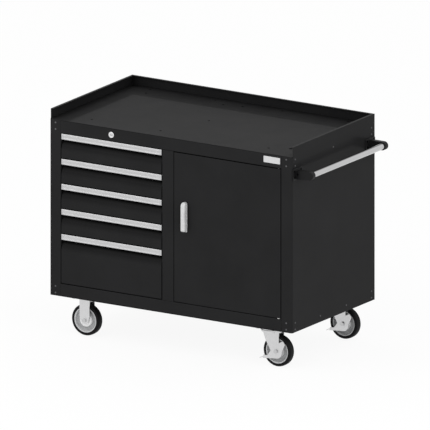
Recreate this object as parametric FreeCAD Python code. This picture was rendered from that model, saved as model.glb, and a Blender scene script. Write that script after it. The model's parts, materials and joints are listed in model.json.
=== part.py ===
import FreeCAD, Part
import math
import os

# A rolling tool cabinet: five drawers on the left, a door compartment on the right,
# a rimmed worktop, a push bar on the right side, two fixed and two braked swivel casters.
# Millimetres. While it is drawn, X runs from the left side, Y from the front face to the
# back and Z up from the floor. Every piece is moved to the part's own origin when it is
# written: the middle of the whole object's box, on the floor.

V = FreeCAD.Vector
X_AXIS = V(1, 0, 0)
Y_AXIS = V(0, 1, 0)
Z_AXIS = V(0, 0, 1)

# Cabinet body
body_width = 1100.0
body_depth = 600.0
caster_height = 155.0
bottom_rail_height = 50.0
opening_height = 600.0
top_rail_height = 52.0
lip_height = 38.0
lip_return = 10.0
sheet = 1.5
plate = 2.0
post_width = 50.0
post_depth = 30.0
centre_post_width = 52.0
drawer_opening_width = 460.0
front_bend = 8.0
small_bend = 2.5
rear_flange = 25.0
rail_foot = 14.0
liner_flange = 16.0
fixing_clearance = 0.1

# Drawers
small_drawer_pitch = 100.0
small_drawer_count = 4
front_gap = 3.0
front_foot_gap = 2.5
front_sheet = 1.2
recess_depth = 24.0
recess_rise = 18.0
recess_radius = 55.0
front_foot = 13.0
handle_height = 22.8
handle_wall = 2.5
handle_rear_leg = 21.0
handle_cap_width = 7.0
label_groove_depth = 0.6
label_groove_margin = 5.5
handle_bead = 3.0
drawer_floor_lift = 3.0
drawer_head_room = 10.0
drawer_rear_gap = 32.0

# Telescopic runners: a cabinet member, a middle carriage and a rail on the drawer
runner_space = 14.0
runner_half_height = 22.5
runner_wall = 1.5
runner_fit = 0.3
runner_lift = 45.0
runner_start = 32.0
runner_length = 520.0
carriage_length = 500.0
runner_mouth = 0.5

# Door
door_gap_left = 3.0
door_gap_right = 2.5
door_gap_height = 3.0
door_sheet = 1.2
door_thickness = 22.0
door_lip = 12.0
door_liner_margin = 4.0
hinge_inset = 13.0
hinge_depth = 6.0
hinge_pin_radius = 3.0
hinge_pin_reach = 14.0
hinge_washer_radius = 6.0
hinge_washer_height = 2.4
running_clearance = 0.05

# Door handle
lever_width = 20.0
lever_length = 116.0
lever_reach = 20.0
lever_bottom = 495.0
lever_inset = 39.5
lever_top_slope = 8.0
escutcheon_thickness = 3.5
escutcheon_margin = 3.0
spindle_radius = 6.0
spindle_drop = 17.0
latch_length = 49.0
latch_width = 22.0
latch_thickness = 3.0
latch_gap = 1.0
spindle_tail = 3.0

# Shelves
shelf_gap = 0.5
shelf_edge = 20.0
shelf_front = 32.0
shelf_rear_gap = 4.0
upper_shelf_height = 505.0
clip_leg = 18.0
clip_width = 22.0
clip_inset = 60.0

# Drawer lock
lock_x = 280.0
lock_drop = 26.0
lock_flange_radius = 12.3
lock_flange_height = 2.5
lock_barrel_radius = 9.0
lock_barrel_length = 28.0
lock_plug_radius = 6.0
lock_plug_proud = 1.0
keyway_width = 1.6
keyway_height = 8.0
keyway_depth = 4.0
tail_rod_radius = 4.0
crank_throw = 8.0
crank_thickness = 3.0
crank_pin_radius = 2.5
lock_bar_width = 32.0
lock_bar_thickness = 3.0
lock_bar_fit = 0.3
lock_bar_shift = 4.0
lock_bar_foot = 12.0
lock_window_width = 20.0
lock_window_height = 10.0
lock_finger_height = 12.0
lock_finger_gap = 2.0
lock_guide_height = 20.0
lock_guide_wall = 1.5

# Blank plate on the top rail
blank_plate_width = 74.5
blank_plate_height = 25.0
blank_plate_thickness = 1.2
blank_plate_drop = 23.0
blank_plate_right = 54.0

# Push bar on the right side
bar_radius = 12.5
bar_wall = 2.0
bar_stand_off = 62.0
bar_drop = 72.5
bracket_thickness = 22.0
bracket_front = 25.0
bracket_end_radius = 16.5
bracket_arm_height = 37.0
bracket_flange_width = 69.0
bracket_flange_height = 46.0
bracket_flange_thickness = 4.0
bracket_socket = 20.0
bracket_recess_radius = 4.0
bracket_recess_depth = 3.0
bracket_recess_reach = 10.0

# Fixings
rivet_head_radius = 3.8
rivet_head_height = 1.2
rivet_shank_radius = 1.6
rivet_grip = 1.5
post_rivet_inset = 26.5
side_rivet_inset = 23.0
rivet_low = 11.5
rivet_high = 13.0
rivet_pitch = 26.0
side_middle_drop = 26.0
side_foot_inset = 206.0
side_foot_rise = 24.0
screw_head_radius = 5.0
screw_head_height = 1.5
screw_grip = 3.0
cable_hole_radius = 7.5

# Places on the worktop: a negative one counts from the right side or from the back
worktop_screw_places = (
    (102.0, -33.0), (397.0, -33.0), (-399.0, -33.0), (-101.0, -33.0), (538.0, -304.0), (537.0, -58.0),
    (147.0, 71.0), (459.0, 71.0), (-151.0, 72.0), (115.0, -85.0), (459.0, -75.0),
)
cable_hole_place = (-73.0, 108.0)

# Casters
wheel_radius = 62.5
tyre_width = 32.0
tyre_shoulder = 7.0
rim_radius = 50.0
rim_width = 28.0
rim_band = 5.0
rim_web = 7.0
hub_disc_radius = 27.0
hub_disc_width = 25.0
hub_radius = 13.0
hub_end_gap = 0.3
axle_radius = 6.0
axle_head_radius = 8.5
axle_head_height = 5.0
fork_gap = 1.5
fork_wall = 2.5
mount_plate_length = 100.0
mount_plate_width = 84.0
mount_plate_thickness = 3.0
mount_bolt_x = 80.0
mount_bolt_y = 64.0
bolt_radius = 4.0
bolt_head_radius = 6.5
bolt_head_height = 5.0
bolt_nut_height = 6.5
bolt_tail = 3.0
fixed_caster_inset = 134.0
swivel_caster_inset = 132.0
caster_y_inset = 58.0
fixed_leg_width = 45.0
fixed_leg_foot = 13.0
fork_bridge_drop = 8.0
fork_shoulder = 6.0
swivel_trail = 36.0
race_radius = 36.0
race_height = 8.0
race_gap = 0.3
crown_radius = 40.0
crown_height = 9.0
king_pin_radius = 8.0
king_pin_head = 4.0
swivel_leg_back = 27.0
swivel_leg_front = 12.0
swivel_leg_waist = 40.0
swivel_leg_foot = 16.0
pedal_wall = 2.0
pedal_gap = 0.3
pedal_tread_thickness = 2.5
pedal_tread_length = 14.0

# The brake lever's cheek: places from the axle and corner radii, as shares of the wheel's radius
pedal_profile = (
    (-0.96, -0.544, 0.032), (-0.912, -0.336, 0.04), (-0.608, -0.32, 0.128), (-0.32, 0.112, 0.224),
    (0.192, 0.544, 0.08), (0.512, 0.704, 0.048), (0.656, 0.496, 0.064), (0.432, 0.0, 0.128),
    (0.432, -0.432, 0.4), (-0.32, -0.48, 0.096),
)

# Heights and places that follow
body_bottom = caster_height
pan_top = body_bottom + plate
opening_bottom = body_bottom + bottom_rail_height
opening_top = opening_bottom + opening_height
worktop_top = opening_top + top_rail_height
worktop_under = worktop_top - plate
lip_top = worktop_top + lip_height
back_inner = body_depth - sheet
drawer_left = post_width
drawer_right = drawer_left + drawer_opening_width
drawer_middle = (drawer_left + drawer_right) / 2
door_opening_left = drawer_right + centre_post_width
door_opening_right = body_width - post_width
door_left = door_opening_left + door_gap_left
door_right = door_opening_right - door_gap_right
door_bottom = opening_bottom + door_gap_height
door_top = opening_top - door_gap_height
hinge_x = door_opening_right - hinge_inset
front_left = drawer_left + front_gap
front_right = drawer_right - front_gap
box_left = drawer_left + runner_space
box_right = drawer_right - runner_space
box_front = recess_depth + front_sheet
box_back = back_inner - drawer_rear_gap
large_drawer_pitch = opening_height - small_drawer_count * small_drawer_pitch
bar_x = body_width + bar_stand_off
bar_height = worktop_top - bar_drop
bar_reach = bar_stand_off + bracket_end_radius
lever_x = door_left + lever_inset + lever_width / 2
lever_top = lever_bottom + lever_length
spindle_z = lever_top - spindle_drop
lock_z = worktop_top - lock_drop
lock_bar_back = back_inner - lock_bar_fit
lock_bar_front = lock_bar_back - lock_bar_thickness
lock_bar_x = lock_x - lock_bar_shift
wheel_axis_z = wheel_radius
leg_inner = tyre_width / 2 + fork_gap
leg_outer = leg_inner + fork_wall
mount_plate_bottom = body_bottom - mount_plate_thickness
caster_rows = (caster_y_inset, body_depth - caster_y_inset)
swivel_x = body_width - swivel_caster_inset
swivel_wheel_x = swivel_x + swivel_trail
origin_shift = V(-(body_width + bar_reach) / 2, -(body_depth - lever_reach) / 2, 0)


def box(x0, x1, y0, y1, z0, z1):
    """A block between two corners."""
    return Part.makeBox(x1 - x0, y1 - y0, z1 - z0, V(x0, y0, z0))


def rod(radius, start, end):
    """A round bar from one point to another."""
    return Part.makeCylinder(radius, (end - start).Length, start, end - start)


def hexagon(radius, start, end):
    """A hexagonal bar, its corners at the radius."""
    run = end - start
    side = Z_AXIS if abs(run.z) < 0.5 * run.Length else X_AXIS
    across = run.cross(side)
    across.normalize()
    side.normalize()
    corners = []
    for step in range(7):
        turn = math.radians(60 * step)
        corners.append(start + side * (radius * math.cos(turn)) + across * (radius * math.sin(turn)))
    return Part.Face(Part.makePolygon(corners)).extrude(run)


def join(shapes):
    """One shape from several that touch."""
    whole = shapes[0].fuse(shapes[1:]) if len(shapes) > 1 else shapes[0]
    return whole.removeSplitter()


def mirrored_x(shape, x):
    """The shape's mirror image about a plane of constant X."""
    return shape.mirror(V(x, 0, 0), X_AXIS)


def on_plane(plane, u, v):
    """A section's point in space: the two letters of the plane are its axes."""
    if plane == "xy":
        return V(u, v, 0)
    if plane == "yz":
        return V(0, u, v)
    return V(u, 0, v)


def rounded_path(points, radii, plane):
    """Edges along a line of points, with an arc of its own radius at each inner point."""
    edges = []
    here = points[0]
    for index in range(1, len(points) - 1):
        before, corner, after = points[index - 1], points[index], points[index + 1]
        into = unit(before, corner)
        out = unit(corner, after)
        turn = math.acos(max(-1.0, min(1.0, into[0] * out[0] + into[1] * out[1])))
        radius = radii[index - 1]
        if radius < 0.01:
            edges.append(line_between(here, corner, plane))
            here = corner
            continue
        back = radius * math.tan(turn / 2)
        arc_start = (corner[0] - into[0] * back, corner[1] - into[1] * back)
        arc_end = (corner[0] + out[0] * back, corner[1] + out[1] * back)
        inward = (out[0] - into[0], out[1] - into[1])
        size = math.hypot(*inward)
        sag = radius / math.cos(turn / 2) - radius
        arc_middle = (corner[0] + inward[0] / size * sag, corner[1] + inward[1] / size * sag)
        edges.append(line_between(here, arc_start, plane))
        arc = Part.Arc(on_plane(plane, *arc_start), on_plane(plane, *arc_middle), on_plane(plane, *arc_end))
        edges.append(arc.toShape())
        here = arc_end
    edges.append(line_between(here, points[-1], plane))
    return [edge for edge in edges if edge is not None]


def unit(start, end):
    """The direction from one flat point to another."""
    run = (end[0] - start[0], end[1] - start[1])
    size = math.hypot(*run)
    return (run[0] / size, run[1] / size)


def line_between(start, end, plane):
    """A straight edge, or nothing where the two points are the same."""
    if math.hypot(end[0] - start[0], end[1] - start[1]) < 0.001:
        return None
    return Part.LineSegment(on_plane(plane, *start), on_plane(plane, *end)).toShape()


def folded_sheet(points, wall, bends, plane, low, high):
    """Bent sheet metal: the points run along its outer face with the metal on their left.

    Each bend is the radius on the outer side of that corner. The section is carried from
    low to high along the axis that its plane leaves out.
    """
    directions = [unit(points[i], points[i + 1]) for i in range(len(points) - 1)]
    inner = []
    for index, point in enumerate(points):
        into = directions[max(index - 1, 0)]
        out = directions[min(index, len(directions) - 1)]
        normal = (-into[1] - out[1], into[0] + out[0])
        scale = wall / (0.5 * (normal[0] ** 2 + normal[1] ** 2))
        inner.append((point[0] + normal[0] * scale, point[1] + normal[1] * scale))
    face_radii, back_radii = [], []
    for index, bend in enumerate(bends):
        into, out = directions[index], directions[index + 1]
        left_turn = into[0] * out[1] - into[1] * out[0] > 0
        face_radii.append(bend if left_turn else max(bend - wall, 0.0))
        back_radii.append(max(bend - wall, 0.0) if left_turn else bend)
    edges = rounded_path(points, face_radii, plane)
    edges.append(line_between(points[-1], inner[-1], plane))
    edges += rounded_path(inner[::-1], back_radii[::-1], plane)
    edges.append(line_between(inner[0], points[0], plane))
    return carried(Part.Wire(Part.__sortEdges__(edges)), plane, low, high)


def carried(wire, plane, low, high):
    """A closed outline carried from low to high along the axis that its plane leaves out."""
    run = {"xy": Z_AXIS, "yz": X_AXIS, "xz": Y_AXIS}[plane]
    solid = Part.Face(wire).extrude(run * (high - low))
    solid.translate(run * low)
    return solid


def outline(points, radii, plane, low, high):
    """A solid with a closed outline, each corner rounded by its own radius."""
    start = ((points[0][0] + points[-1][0]) / 2, (points[0][1] + points[-1][1]) / 2)
    edges = rounded_path([start] + list(points) + [start], radii, plane)
    return carried(Part.Wire(Part.__sortEdges__(edges)), plane, low, high)


def turned(points, centre):
    """A solid of revolution about a Y axis through the centre: points are (radius, offset along Y)."""
    corners = [V(centre.x + radius, centre.y + offset, centre.z) for radius, offset in points]
    face = Part.Face(Part.makePolygon(corners + [corners[0]]))
    return face.revolve(centre, Y_AXIS, 360)


def write(name, solids):
    """Write one piece, or a group of like pieces, at the part's own origin."""
    group = solids if isinstance(solids, list) else [solids]
    placed = []
    for solid in group:
        for single in solid.Solids:
            copy = single.copy()
            copy.translate(origin_shift)
            placed.append(copy)
    shape = placed[0] if len(placed) == 1 else Part.makeCompound(placed)
    shape.exportStep("parts/" + name + ".step")


def rivet(point, outward):
    """A blind rivet: a domed head on the sheet and a shank through it."""
    head = Part.makeCone(rivet_head_radius, rivet_head_radius * 0.55, rivet_head_height, point, outward)
    shank = rod(rivet_shank_radius, point, point - outward * (sheet + rivet_grip))
    return join([head, shank])


def rivet_hole(point, outward):
    """The hole that a rivet's shank passes through."""
    return rod(rivet_shank_radius + fixing_clearance, point + outward, point - outward * (sheet + 1))


def rivet_heights():
    """The paired rivet rows near the foot and the head of the body."""
    low = body_bottom + rivet_low
    high = worktop_top - rivet_high
    return [low, low + rivet_pitch, high - rivet_pitch, high]


def left_rivets():
    """Places and directions of the rivets on the left side panel and its post."""
    places = [(V(post_rivet_inset, 0, height), -Y_AXIS) for height in rivet_heights()]
    for height in rivet_heights():
        places.append((V(0, side_rivet_inset, height), -X_AXIS))
        places.append((V(0, body_depth - side_rivet_inset, height), -X_AXIS))
    places.append((V(0, body_depth / 2, worktop_top - side_middle_drop), -X_AXIS))
    for place in (side_foot_inset, body_depth - side_foot_inset):
        places.append((V(0, place, body_bottom + side_foot_rise), -X_AXIS))
    return places


def side_panel():
    """The left side: one sheet wrapped round the front post, with its lip above the worktop."""
    wrap = [(rear_flange, back_inner), (0, back_inner), (0, 0), (post_width, 0), (post_width, post_depth)]
    bends = [small_bend, front_bend, small_bend]
    panel = folded_sheet(wrap, sheet, bends, "xy", pan_top, worktop_under)
    beside_worktop = box(0, sheet, front_bend, back_inner, worktop_under, worktop_top)
    lip = box(0, sheet, front_bend, back_inner, worktop_top, lip_top)
    lip_edge = box(0, lip_return, front_bend, back_inner, lip_top - sheet, lip_top)
    whole = join([panel, beside_worktop, lip, lip_edge])
    for point, outward in left_rivets():
        whole = whole.cut(rivet_hole(point, outward))
    return whole


def lock_guide(height):
    """A bridge on the back panel that guides the lock bar."""
    left = lock_bar_x - lock_bar_width / 2 - lock_bar_fit
    right = lock_bar_x + lock_bar_width / 2 + lock_bar_fit
    front = lock_bar_front - lock_bar_fit
    outer = box(left - lock_guide_wall, right + lock_guide_wall, front - lock_guide_wall, back_inner,
                height, height + lock_guide_height)
    return outer.cut(box(left, right, front, back_inner, height - 1, height + lock_guide_height + 1))


def lock_guide_heights():
    """Where the two bridges sit, clear of the lock bar's fingers."""
    low = drawer_bottoms()[0][0] + runner_lift + lock_finger_height + lock_guide_height
    high = drawer_bottoms()[-1][0] + runner_lift + lock_finger_height + lock_guide_height / 2
    return (low, high)


def back_panel():
    """The back sheet, with its lip above the worktop and two bridges for the lock bar."""
    panel = box(0, body_width, back_inner, body_depth, pan_top, lip_top)
    lip_edge = box(lip_return + 0.5, body_width - lip_return - 0.5, body_depth - lip_return, back_inner,
                   lip_top - sheet, lip_top)
    return join([panel, lip_edge] + [lock_guide(height) for height in lock_guide_heights()])


def corner_plate(left, right, back, radius, low, high):
    """A flat plate with its two front corners rounded."""
    points = [(left, back), (left, 0), (right, 0), (right, back)]
    return outline(points, [0, radius, radius, 0], "xy", low, high)


def base_pan():
    """The floor of the body, with the casters' bolt holes."""
    pan = corner_plate(0, body_width, body_depth, front_bend, body_bottom, pan_top)
    for x, y in caster_bolt_places():
        hole = rod(bolt_radius + fixing_clearance, V(x, y, body_bottom - 1), V(x, y, pan_top + 1))
        pan = pan.cut(hole)
    return pan


def on_worktop(place):
    """A point on the worktop, a negative place counted from the right side or from the back."""
    x, y = place
    return V(x if x > 0 else body_width + x, y if y > 0 else body_depth + y, worktop_top)


def screw_head(top):
    """A countersunk head, flush with the sheet."""
    return Part.makeCone(screw_head_radius, rivet_shank_radius, screw_head_height, top, -Z_AXIS)


def worktop():
    """The flat top between the lips, with its countersunk screw holes and a cable hole."""
    top = corner_plate(sheet, body_width - sheet, back_inner, front_bend - sheet, worktop_under, worktop_top)
    through = Z_AXIS * (plate + 1)
    for place in worktop_screw_places:
        point = on_worktop(place)
        top = top.cut(rod(rivet_shank_radius + fixing_clearance, point - through, point + Z_AXIS))
        top = top.cut(screw_head(point))
    point = on_worktop(cable_hole_place)
    return top.cut(rod(cable_hole_radius, point - through, point + Z_AXIS))


def front_rail(low, high, lower_depth, upper_depth):
    """A rail across the front: a web with a flange at its foot and head."""
    points = [(upper_depth, high), (0, high), (0, low), (lower_depth, low)]
    rail = folded_sheet(points, sheet, [small_bend, small_bend], "yz", post_width, body_width - post_width)
    return rail


def hinge_pin_hole(height):
    """The hole in a rail that holds a hinge pin."""
    start = V(hinge_x, hinge_depth, height - sheet - 1)
    return rod(hinge_pin_radius, start, start + Z_AXIS * (2 * sheet + 2))


def top_rail():
    """The rail over the drawers and the door, with the lock's hole."""
    rail = front_rail(opening_top, worktop_under, post_depth, post_depth)
    barrel = rod(lock_barrel_radius + fixing_clearance, V(lock_x, -1, lock_z), V(lock_x, sheet + 1, lock_z))
    return rail.cut(barrel).cut(hinge_pin_hole(opening_top))


def bottom_rail():
    """The rail under the drawers and the door."""
    rail = front_rail(pan_top, opening_bottom, rail_foot, post_depth)
    return rail.cut(hinge_pin_hole(opening_bottom))


def centre_partition():
    """One sheet folded round the centre post: the wall between the drawers and the door space."""
    points = [(drawer_right, back_inner), (drawer_right, 0), (door_opening_left, 0),
              (door_opening_left, back_inner)]
    wall = folded_sheet(points, sheet, [small_bend, small_bend], "xy", pan_top, worktop_under)
    for low, high in ((pan_top, opening_bottom), (opening_top, worktop_under)):
        wall = wall.cut(box(drawer_right - 1, door_opening_left + 1, -1, post_depth, low, high))
    return wall


def liner():
    """The left inner wall that carries the runners."""
    points = [(post_width, post_depth), (post_width, back_inner), (post_width - liner_flange, back_inner)]
    return folded_sheet(points, sheet, [small_bend], "xy", pan_top, worktop_under)


def shelf(top):
    """A shelf with its front and rear edges turned down."""
    left = door_opening_left + shelf_gap
    right = door_opening_right - shelf_gap
    rear = back_inner - shelf_rear_gap
    points = [(rear, top - shelf_edge), (rear, top), (shelf_front, top), (shelf_front, top - shelf_edge)]
    return folded_sheet(points, sheet, [small_bend, small_bend], "yz", left, right)


def shelf_clip(top, y):
    """An angle on the partition under a shelf."""
    tab = top - sheet
    wall = door_opening_left
    points = [(wall + clip_leg, tab), (wall, tab), (wall, tab - clip_leg)]
    return folded_sheet(points, sheet, [small_bend], "xz", y - clip_width / 2, y + clip_width / 2)


def shelf_tops():
    """The heights of the compartment's floor and its shelf."""
    return (opening_bottom, upper_shelf_height)


def shelf_clips():
    """Four clips under each shelf."""
    clips = []
    middle = (door_opening_left + door_opening_right) / 2
    for top in shelf_tops():
        for y in (shelf_front + clip_inset, back_inner - shelf_rear_gap - clip_inset):
            clip = shelf_clip(top, y)
            clips += [clip, mirrored_x(clip, middle)]
    return clips


def drawer_bottoms():
    """Each drawer front's lowest height and its height, from the top drawer down."""
    rows = []
    for number in range(small_drawer_count):
        low = opening_top - (number + 1) * small_drawer_pitch
        rows.append((low + front_gap / 2, small_drawer_pitch - front_gap))
    rows.append((opening_bottom + front_foot_gap, large_drawer_pitch - front_gap / 2 - front_foot_gap))
    return rows


def drawer_front(bottom, height):
    """The drawer's face: flat below, then bent back under the handle to leave room for fingers."""
    under_handle = bottom + height - handle_height
    knee = under_handle - recess_rise
    slope = math.hypot(recess_depth, recess_rise)
    half_turn = math.atan2(recess_depth, recess_rise) / 2
    kink = 2.0 + front_sheet
    room = slope - kink * math.tan(half_turn) - 0.5
    curve = min(recess_radius, room / math.tan(half_turn))
    points = [(recess_depth, bottom + height - 1), (recess_depth, under_handle), (0, knee),
              (0, bottom), (front_foot, bottom)]
    face = folded_sheet(points, front_sheet, [kink, curve, small_bend], "yz", front_left, front_right)
    side = [(recess_depth, bottom + height - 1), (recess_depth, under_handle), (0, knee), (0, bottom),
            (box_front, bottom), (box_front, bottom + height - 1)]
    end = outline(side, [0, kink - front_sheet, curve, small_bend, 0, 0], "yz", front_left,
                  front_left + front_sheet)
    return join([face, end, mirrored_x(end, drawer_middle)])


def runner_channel(web, mouth, half_height, centre_z, start, length):
    """A U-section runner member: web and mouth are the X of its back and of its open side."""
    step = runner_wall if mouth > web else -runner_wall
    low, high = centre_z - half_height, centre_z + half_height
    x0, x1 = sorted((web, mouth))
    inner0, inner1 = sorted((web + step, mouth + step))
    block = box(x0, x1, start, start + length, low, high)
    end = start + length
    return block.cut(box(inner0, inner1, start - 1, end + 1, low + runner_wall, high - runner_wall))


def cabinet_runner(bottom):
    """The member fixed to the left wall."""
    mouth = drawer_left + runner_space - runner_wall - 2 * runner_mouth
    return runner_channel(drawer_left, mouth, runner_half_height, bottom + runner_lift, runner_start,
                          runner_length)


def carriage(bottom):
    """The middle member, inside the cabinet member."""
    web = drawer_left + runner_wall + runner_fit
    mouth = drawer_left + runner_space - runner_wall - runner_mouth
    half = runner_half_height - runner_wall - runner_fit
    return runner_channel(web, mouth, half, bottom + runner_lift, runner_start, carriage_length)


def drawer_rail(bottom):
    """The rail on the drawer's side, inside the carriage."""
    web = box_left
    mouth = drawer_left + 2 * (runner_wall + runner_fit) + runner_mouth
    half = runner_half_height - 2 * (runner_wall + runner_fit)
    return runner_channel(web, mouth, half, bottom + runner_lift, runner_start, runner_length)


def drawer(bottom, height):
    """One drawer's welded sheets: floor, two sides, inner front, back and face, with its two rails."""
    low = bottom + drawer_floor_lift
    wall_low = low + front_sheet
    high = bottom + height - drawer_head_room
    inner_left = box_left + front_sheet
    inner_right = box_right - front_sheet
    floor = box(box_left, box_right, box_front, box_back, low, wall_low)
    side = box(box_left, inner_left, box_front, box_back, wall_low, high)
    inner_front = box(inner_left, inner_right, box_front, box_front + front_sheet, wall_low, high)
    back = box(inner_left, inner_right, box_back - front_sheet, box_back, wall_low, high)
    rail = drawer_rail(bottom)
    pairs = [side, mirrored_x(side, drawer_middle), rail, mirrored_x(rail, drawer_middle)]
    return [floor, inner_front, back, drawer_front(bottom, height)] + pairs


def drawer_handle(bottom, height):
    """The full-width handle: an aluminium profile and its two end caps."""
    high = bottom + height
    low = high - handle_height
    left = front_left + handle_cap_width
    right = front_right - handle_cap_width
    points = [(recess_depth, high - handle_rear_leg), (recess_depth, high), (0, high), (0, low)]
    profile = folded_sheet(points, handle_wall, [handle_wall, handle_wall], "yz", left, right)
    bead = box(left, right, handle_wall, handle_wall + 1, low, low + handle_bead)
    groove = box(left, right, 0, label_groove_depth, low + label_groove_margin, high - label_groove_margin)
    cap = outline([(0, low), (recess_depth, low), (recess_depth, high), (0, high)], [1, 0, 0, handle_wall],
                  "yz", front_left, left)
    return [join([profile, bead]).cut(groove), cap, mirrored_x(cap, drawer_middle)]


def door_skin():
    """The door's outer pan, with its hinge holes and the handle's hole."""
    shell = box(door_left, door_right, 0, door_thickness, door_bottom, door_top)
    hollow = box(door_left + door_sheet, door_right - door_sheet, door_sheet, door_thickness - door_sheet,
                 door_bottom + door_sheet, door_top - door_sheet)
    rim = box(door_left + door_lip, door_right - door_lip, door_thickness / 2, door_thickness + 1,
              door_bottom + door_lip, door_top - door_lip)
    skin = shell.cut(hollow).cut(rim)
    fit = hinge_pin_radius + running_clearance
    for height in (door_bottom, door_top):
        skin = skin.cut(rod(fit, V(hinge_x, hinge_depth, height - 3), V(hinge_x, hinge_depth, height + 3)))
    return skin.cut(spindle_hole(spindle_radius + 2, -1, door_sheet + 1))


def spindle_hole(radius, start, end):
    """A round hole along the handle's axis."""
    return rod(radius, V(lever_x, start, spindle_z), V(lever_x, end, spindle_z))


def door_liner():
    """The flat sheet that closes the door's back."""
    margin = door_liner_margin
    back = door_thickness + door_sheet
    flat = box(door_left + margin, door_right - margin, door_thickness, back, door_bottom + margin,
               door_top - margin)
    return flat.cut(spindle_hole(spindle_radius + 2, door_thickness - 1, back + 1))


def handle_escutcheon():
    """The cast plate under the lever, round above and square below."""
    left = lever_x - lever_width / 2
    right = lever_x + lever_width / 2
    low = lever_bottom - escutcheon_margin
    crown = lever_width / 2 - 0.5
    base = outline([(left, low), (right, low), (right, lever_top), (left, lever_top)], [2, 2, crown, crown],
                   "xz", -escutcheon_thickness, 0)
    bush = rod(spindle_radius + 1.9, V(lever_x, 0, spindle_z), V(lever_x, door_sheet + 4, spindle_z))
    hole = spindle_hole(spindle_radius + running_clearance, -escutcheon_thickness - 1, door_sheet + 5)
    return join([base, bush]).cut(hole)


def handle_lever():
    """The turning lever and its spindle through the door."""
    left = lever_x - lever_width / 2
    right = lever_x + lever_width / 2
    back = -(escutcheon_thickness + pedal_gap)
    crown = lever_width / 2 - 0.5
    low, high = lever_bottom, lever_top
    front_view = outline([(left, low), (right, low), (right, high), (left, high)],
                         [crown * 0.7, 1, crown, crown], "xz", -lever_reach, back)
    side_view = outline([(back, low), (-lever_reach, low), (-lever_reach, high - 2 * lever_top_slope),
                         (back - 4, high), (back, high)], [0, 4, 9, 2, 0], "yz", left - 1, right + 1)
    scoop_low = lever_bottom + 0.42 * lever_length
    scoop_high = lever_top - 0.2 * lever_length
    scoop = outline([(right + 6, scoop_low), (right + 6, scoop_high), (right - 3, scoop_high),
                     (right - 3, scoop_low)], [0, 0, 4, 4], "xz", -lever_reach + 4, back - 3)
    spindle = rod(spindle_radius, V(lever_x, back, spindle_z), V(lever_x, spindle_end(), spindle_z))
    return join([front_view.common(side_view).cut(scoop), spindle])


def latch_front():
    """The latch tongue's face nearest the door."""
    return door_thickness + door_sheet + latch_gap


def spindle_end():
    """Where the handle's spindle stops behind the latch."""
    return latch_front() + latch_thickness + spindle_tail


def latch_tongue():
    """The tongue on the spindle's end, pointing at the centre post."""
    back = latch_front()
    near = lever_x + latch_width / 2
    far = lever_x - latch_length
    low = spindle_z - latch_width / 2
    high = spindle_z + latch_width / 2
    arm = outline([(near, low), (far, low), (far, high), (near, high)], [8, 3, 3, 8], "xz", back,
                  back + latch_thickness)
    return arm.cut(spindle_hole(spindle_radius, back - 1, back + latch_thickness + 1))


def hinge_pins():
    """The two pins that the door turns on, the lower one with a white thrust collar."""
    pins = []
    for rail, inward in ((opening_bottom, 1), (opening_top, -1)):
        seat = V(hinge_x, hinge_depth, rail)
        up = Z_AXIS * inward
        pins.append(rod(hinge_pin_radius, seat - up * (sheet + 2), seat + up * hinge_pin_reach))
    foot = V(hinge_x, hinge_depth, opening_bottom)
    pins[0] = join([pins[0], rod(hinge_washer_radius, foot, foot + Z_AXIS * hinge_washer_height)])
    return pins


def lock_housing():
    """The lock's chromed case, through the top rail."""
    flange = Part.makeCone(lock_flange_radius - 1, lock_flange_radius, lock_flange_height,
                           V(lock_x, -lock_flange_height, lock_z), Y_AXIS)
    barrel = rod(lock_barrel_radius, V(lock_x, 0, lock_z), V(lock_x, lock_barrel_length, lock_z))
    bore = rod(lock_plug_radius + running_clearance, V(lock_x, -lock_flange_height - 1, lock_z),
               V(lock_x, lock_barrel_length + 1, lock_z))
    return join([flange, barrel]).cut(bore)


def lock_plug():
    """The turning plug with its keyway, and the rod and crank that it drives."""
    face = -lock_flange_height - lock_plug_proud
    plug = rod(lock_plug_radius, V(lock_x, face, lock_z), V(lock_x, lock_barrel_length + 2, lock_z))
    keyway = box(lock_x - keyway_width / 2, lock_x + keyway_width / 2, face - 1, face + keyway_depth,
                 lock_z - keyway_height / 2, lock_z + keyway_height / 2)
    crank_back = lock_bar_front - crank_thickness
    crank_front = crank_back - crank_thickness
    tail = rod(tail_rod_radius, V(lock_x, lock_barrel_length + 2, lock_z), V(lock_x, crank_back, lock_z))
    arm = outline([(lock_x - tail_rod_radius - 1, lock_z - crank_throw - crank_pin_radius - 1.5),
                   (lock_x + tail_rod_radius + 1, lock_z - crank_throw - crank_pin_radius - 1.5),
                   (lock_x + tail_rod_radius + 1, lock_z + tail_rod_radius + 1),
                   (lock_x - tail_rod_radius - 1, lock_z + tail_rod_radius + 1)],
                  [3, 3, 3, 3], "xz", crank_front, crank_back)
    pin_z = lock_z - crank_throw
    pin = rod(crank_pin_radius, V(lock_x, crank_back, pin_z), V(lock_x, lock_bar_back - 1, pin_z))
    return join([plug.cut(keyway), tail, arm, pin])


def lock_bar():
    """The bar behind the drawers that the crank lifts, with a finger at each drawer."""
    left = lock_bar_x - lock_bar_width / 2
    right = lock_bar_x + lock_bar_width / 2
    window_z = lock_z - crank_throw
    foot = drawer_bottoms()[-1][0] + runner_lift - lock_bar_foot
    head = window_z + lock_window_height / 2 + lock_bar_foot
    strip = box(left, right, lock_bar_front, lock_bar_back, foot, head)
    window = box(lock_bar_x - lock_window_width / 2, lock_bar_x + lock_window_width / 2, lock_bar_front - 1,
                 lock_bar_back + 1, window_z - lock_window_height / 2, window_z + lock_window_height / 2)
    fingers = []
    for bottom, height in drawer_bottoms():
        low = bottom + runner_lift
        fingers.append(box(left, right, box_back + lock_finger_gap, lock_bar_front, low, low + sheet))
        fingers.append(box(left, right, box_back + lock_finger_gap, box_back + lock_finger_gap + sheet, low,
                           low + lock_finger_height))
    return join([strip.cut(window)] + fingers)


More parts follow.
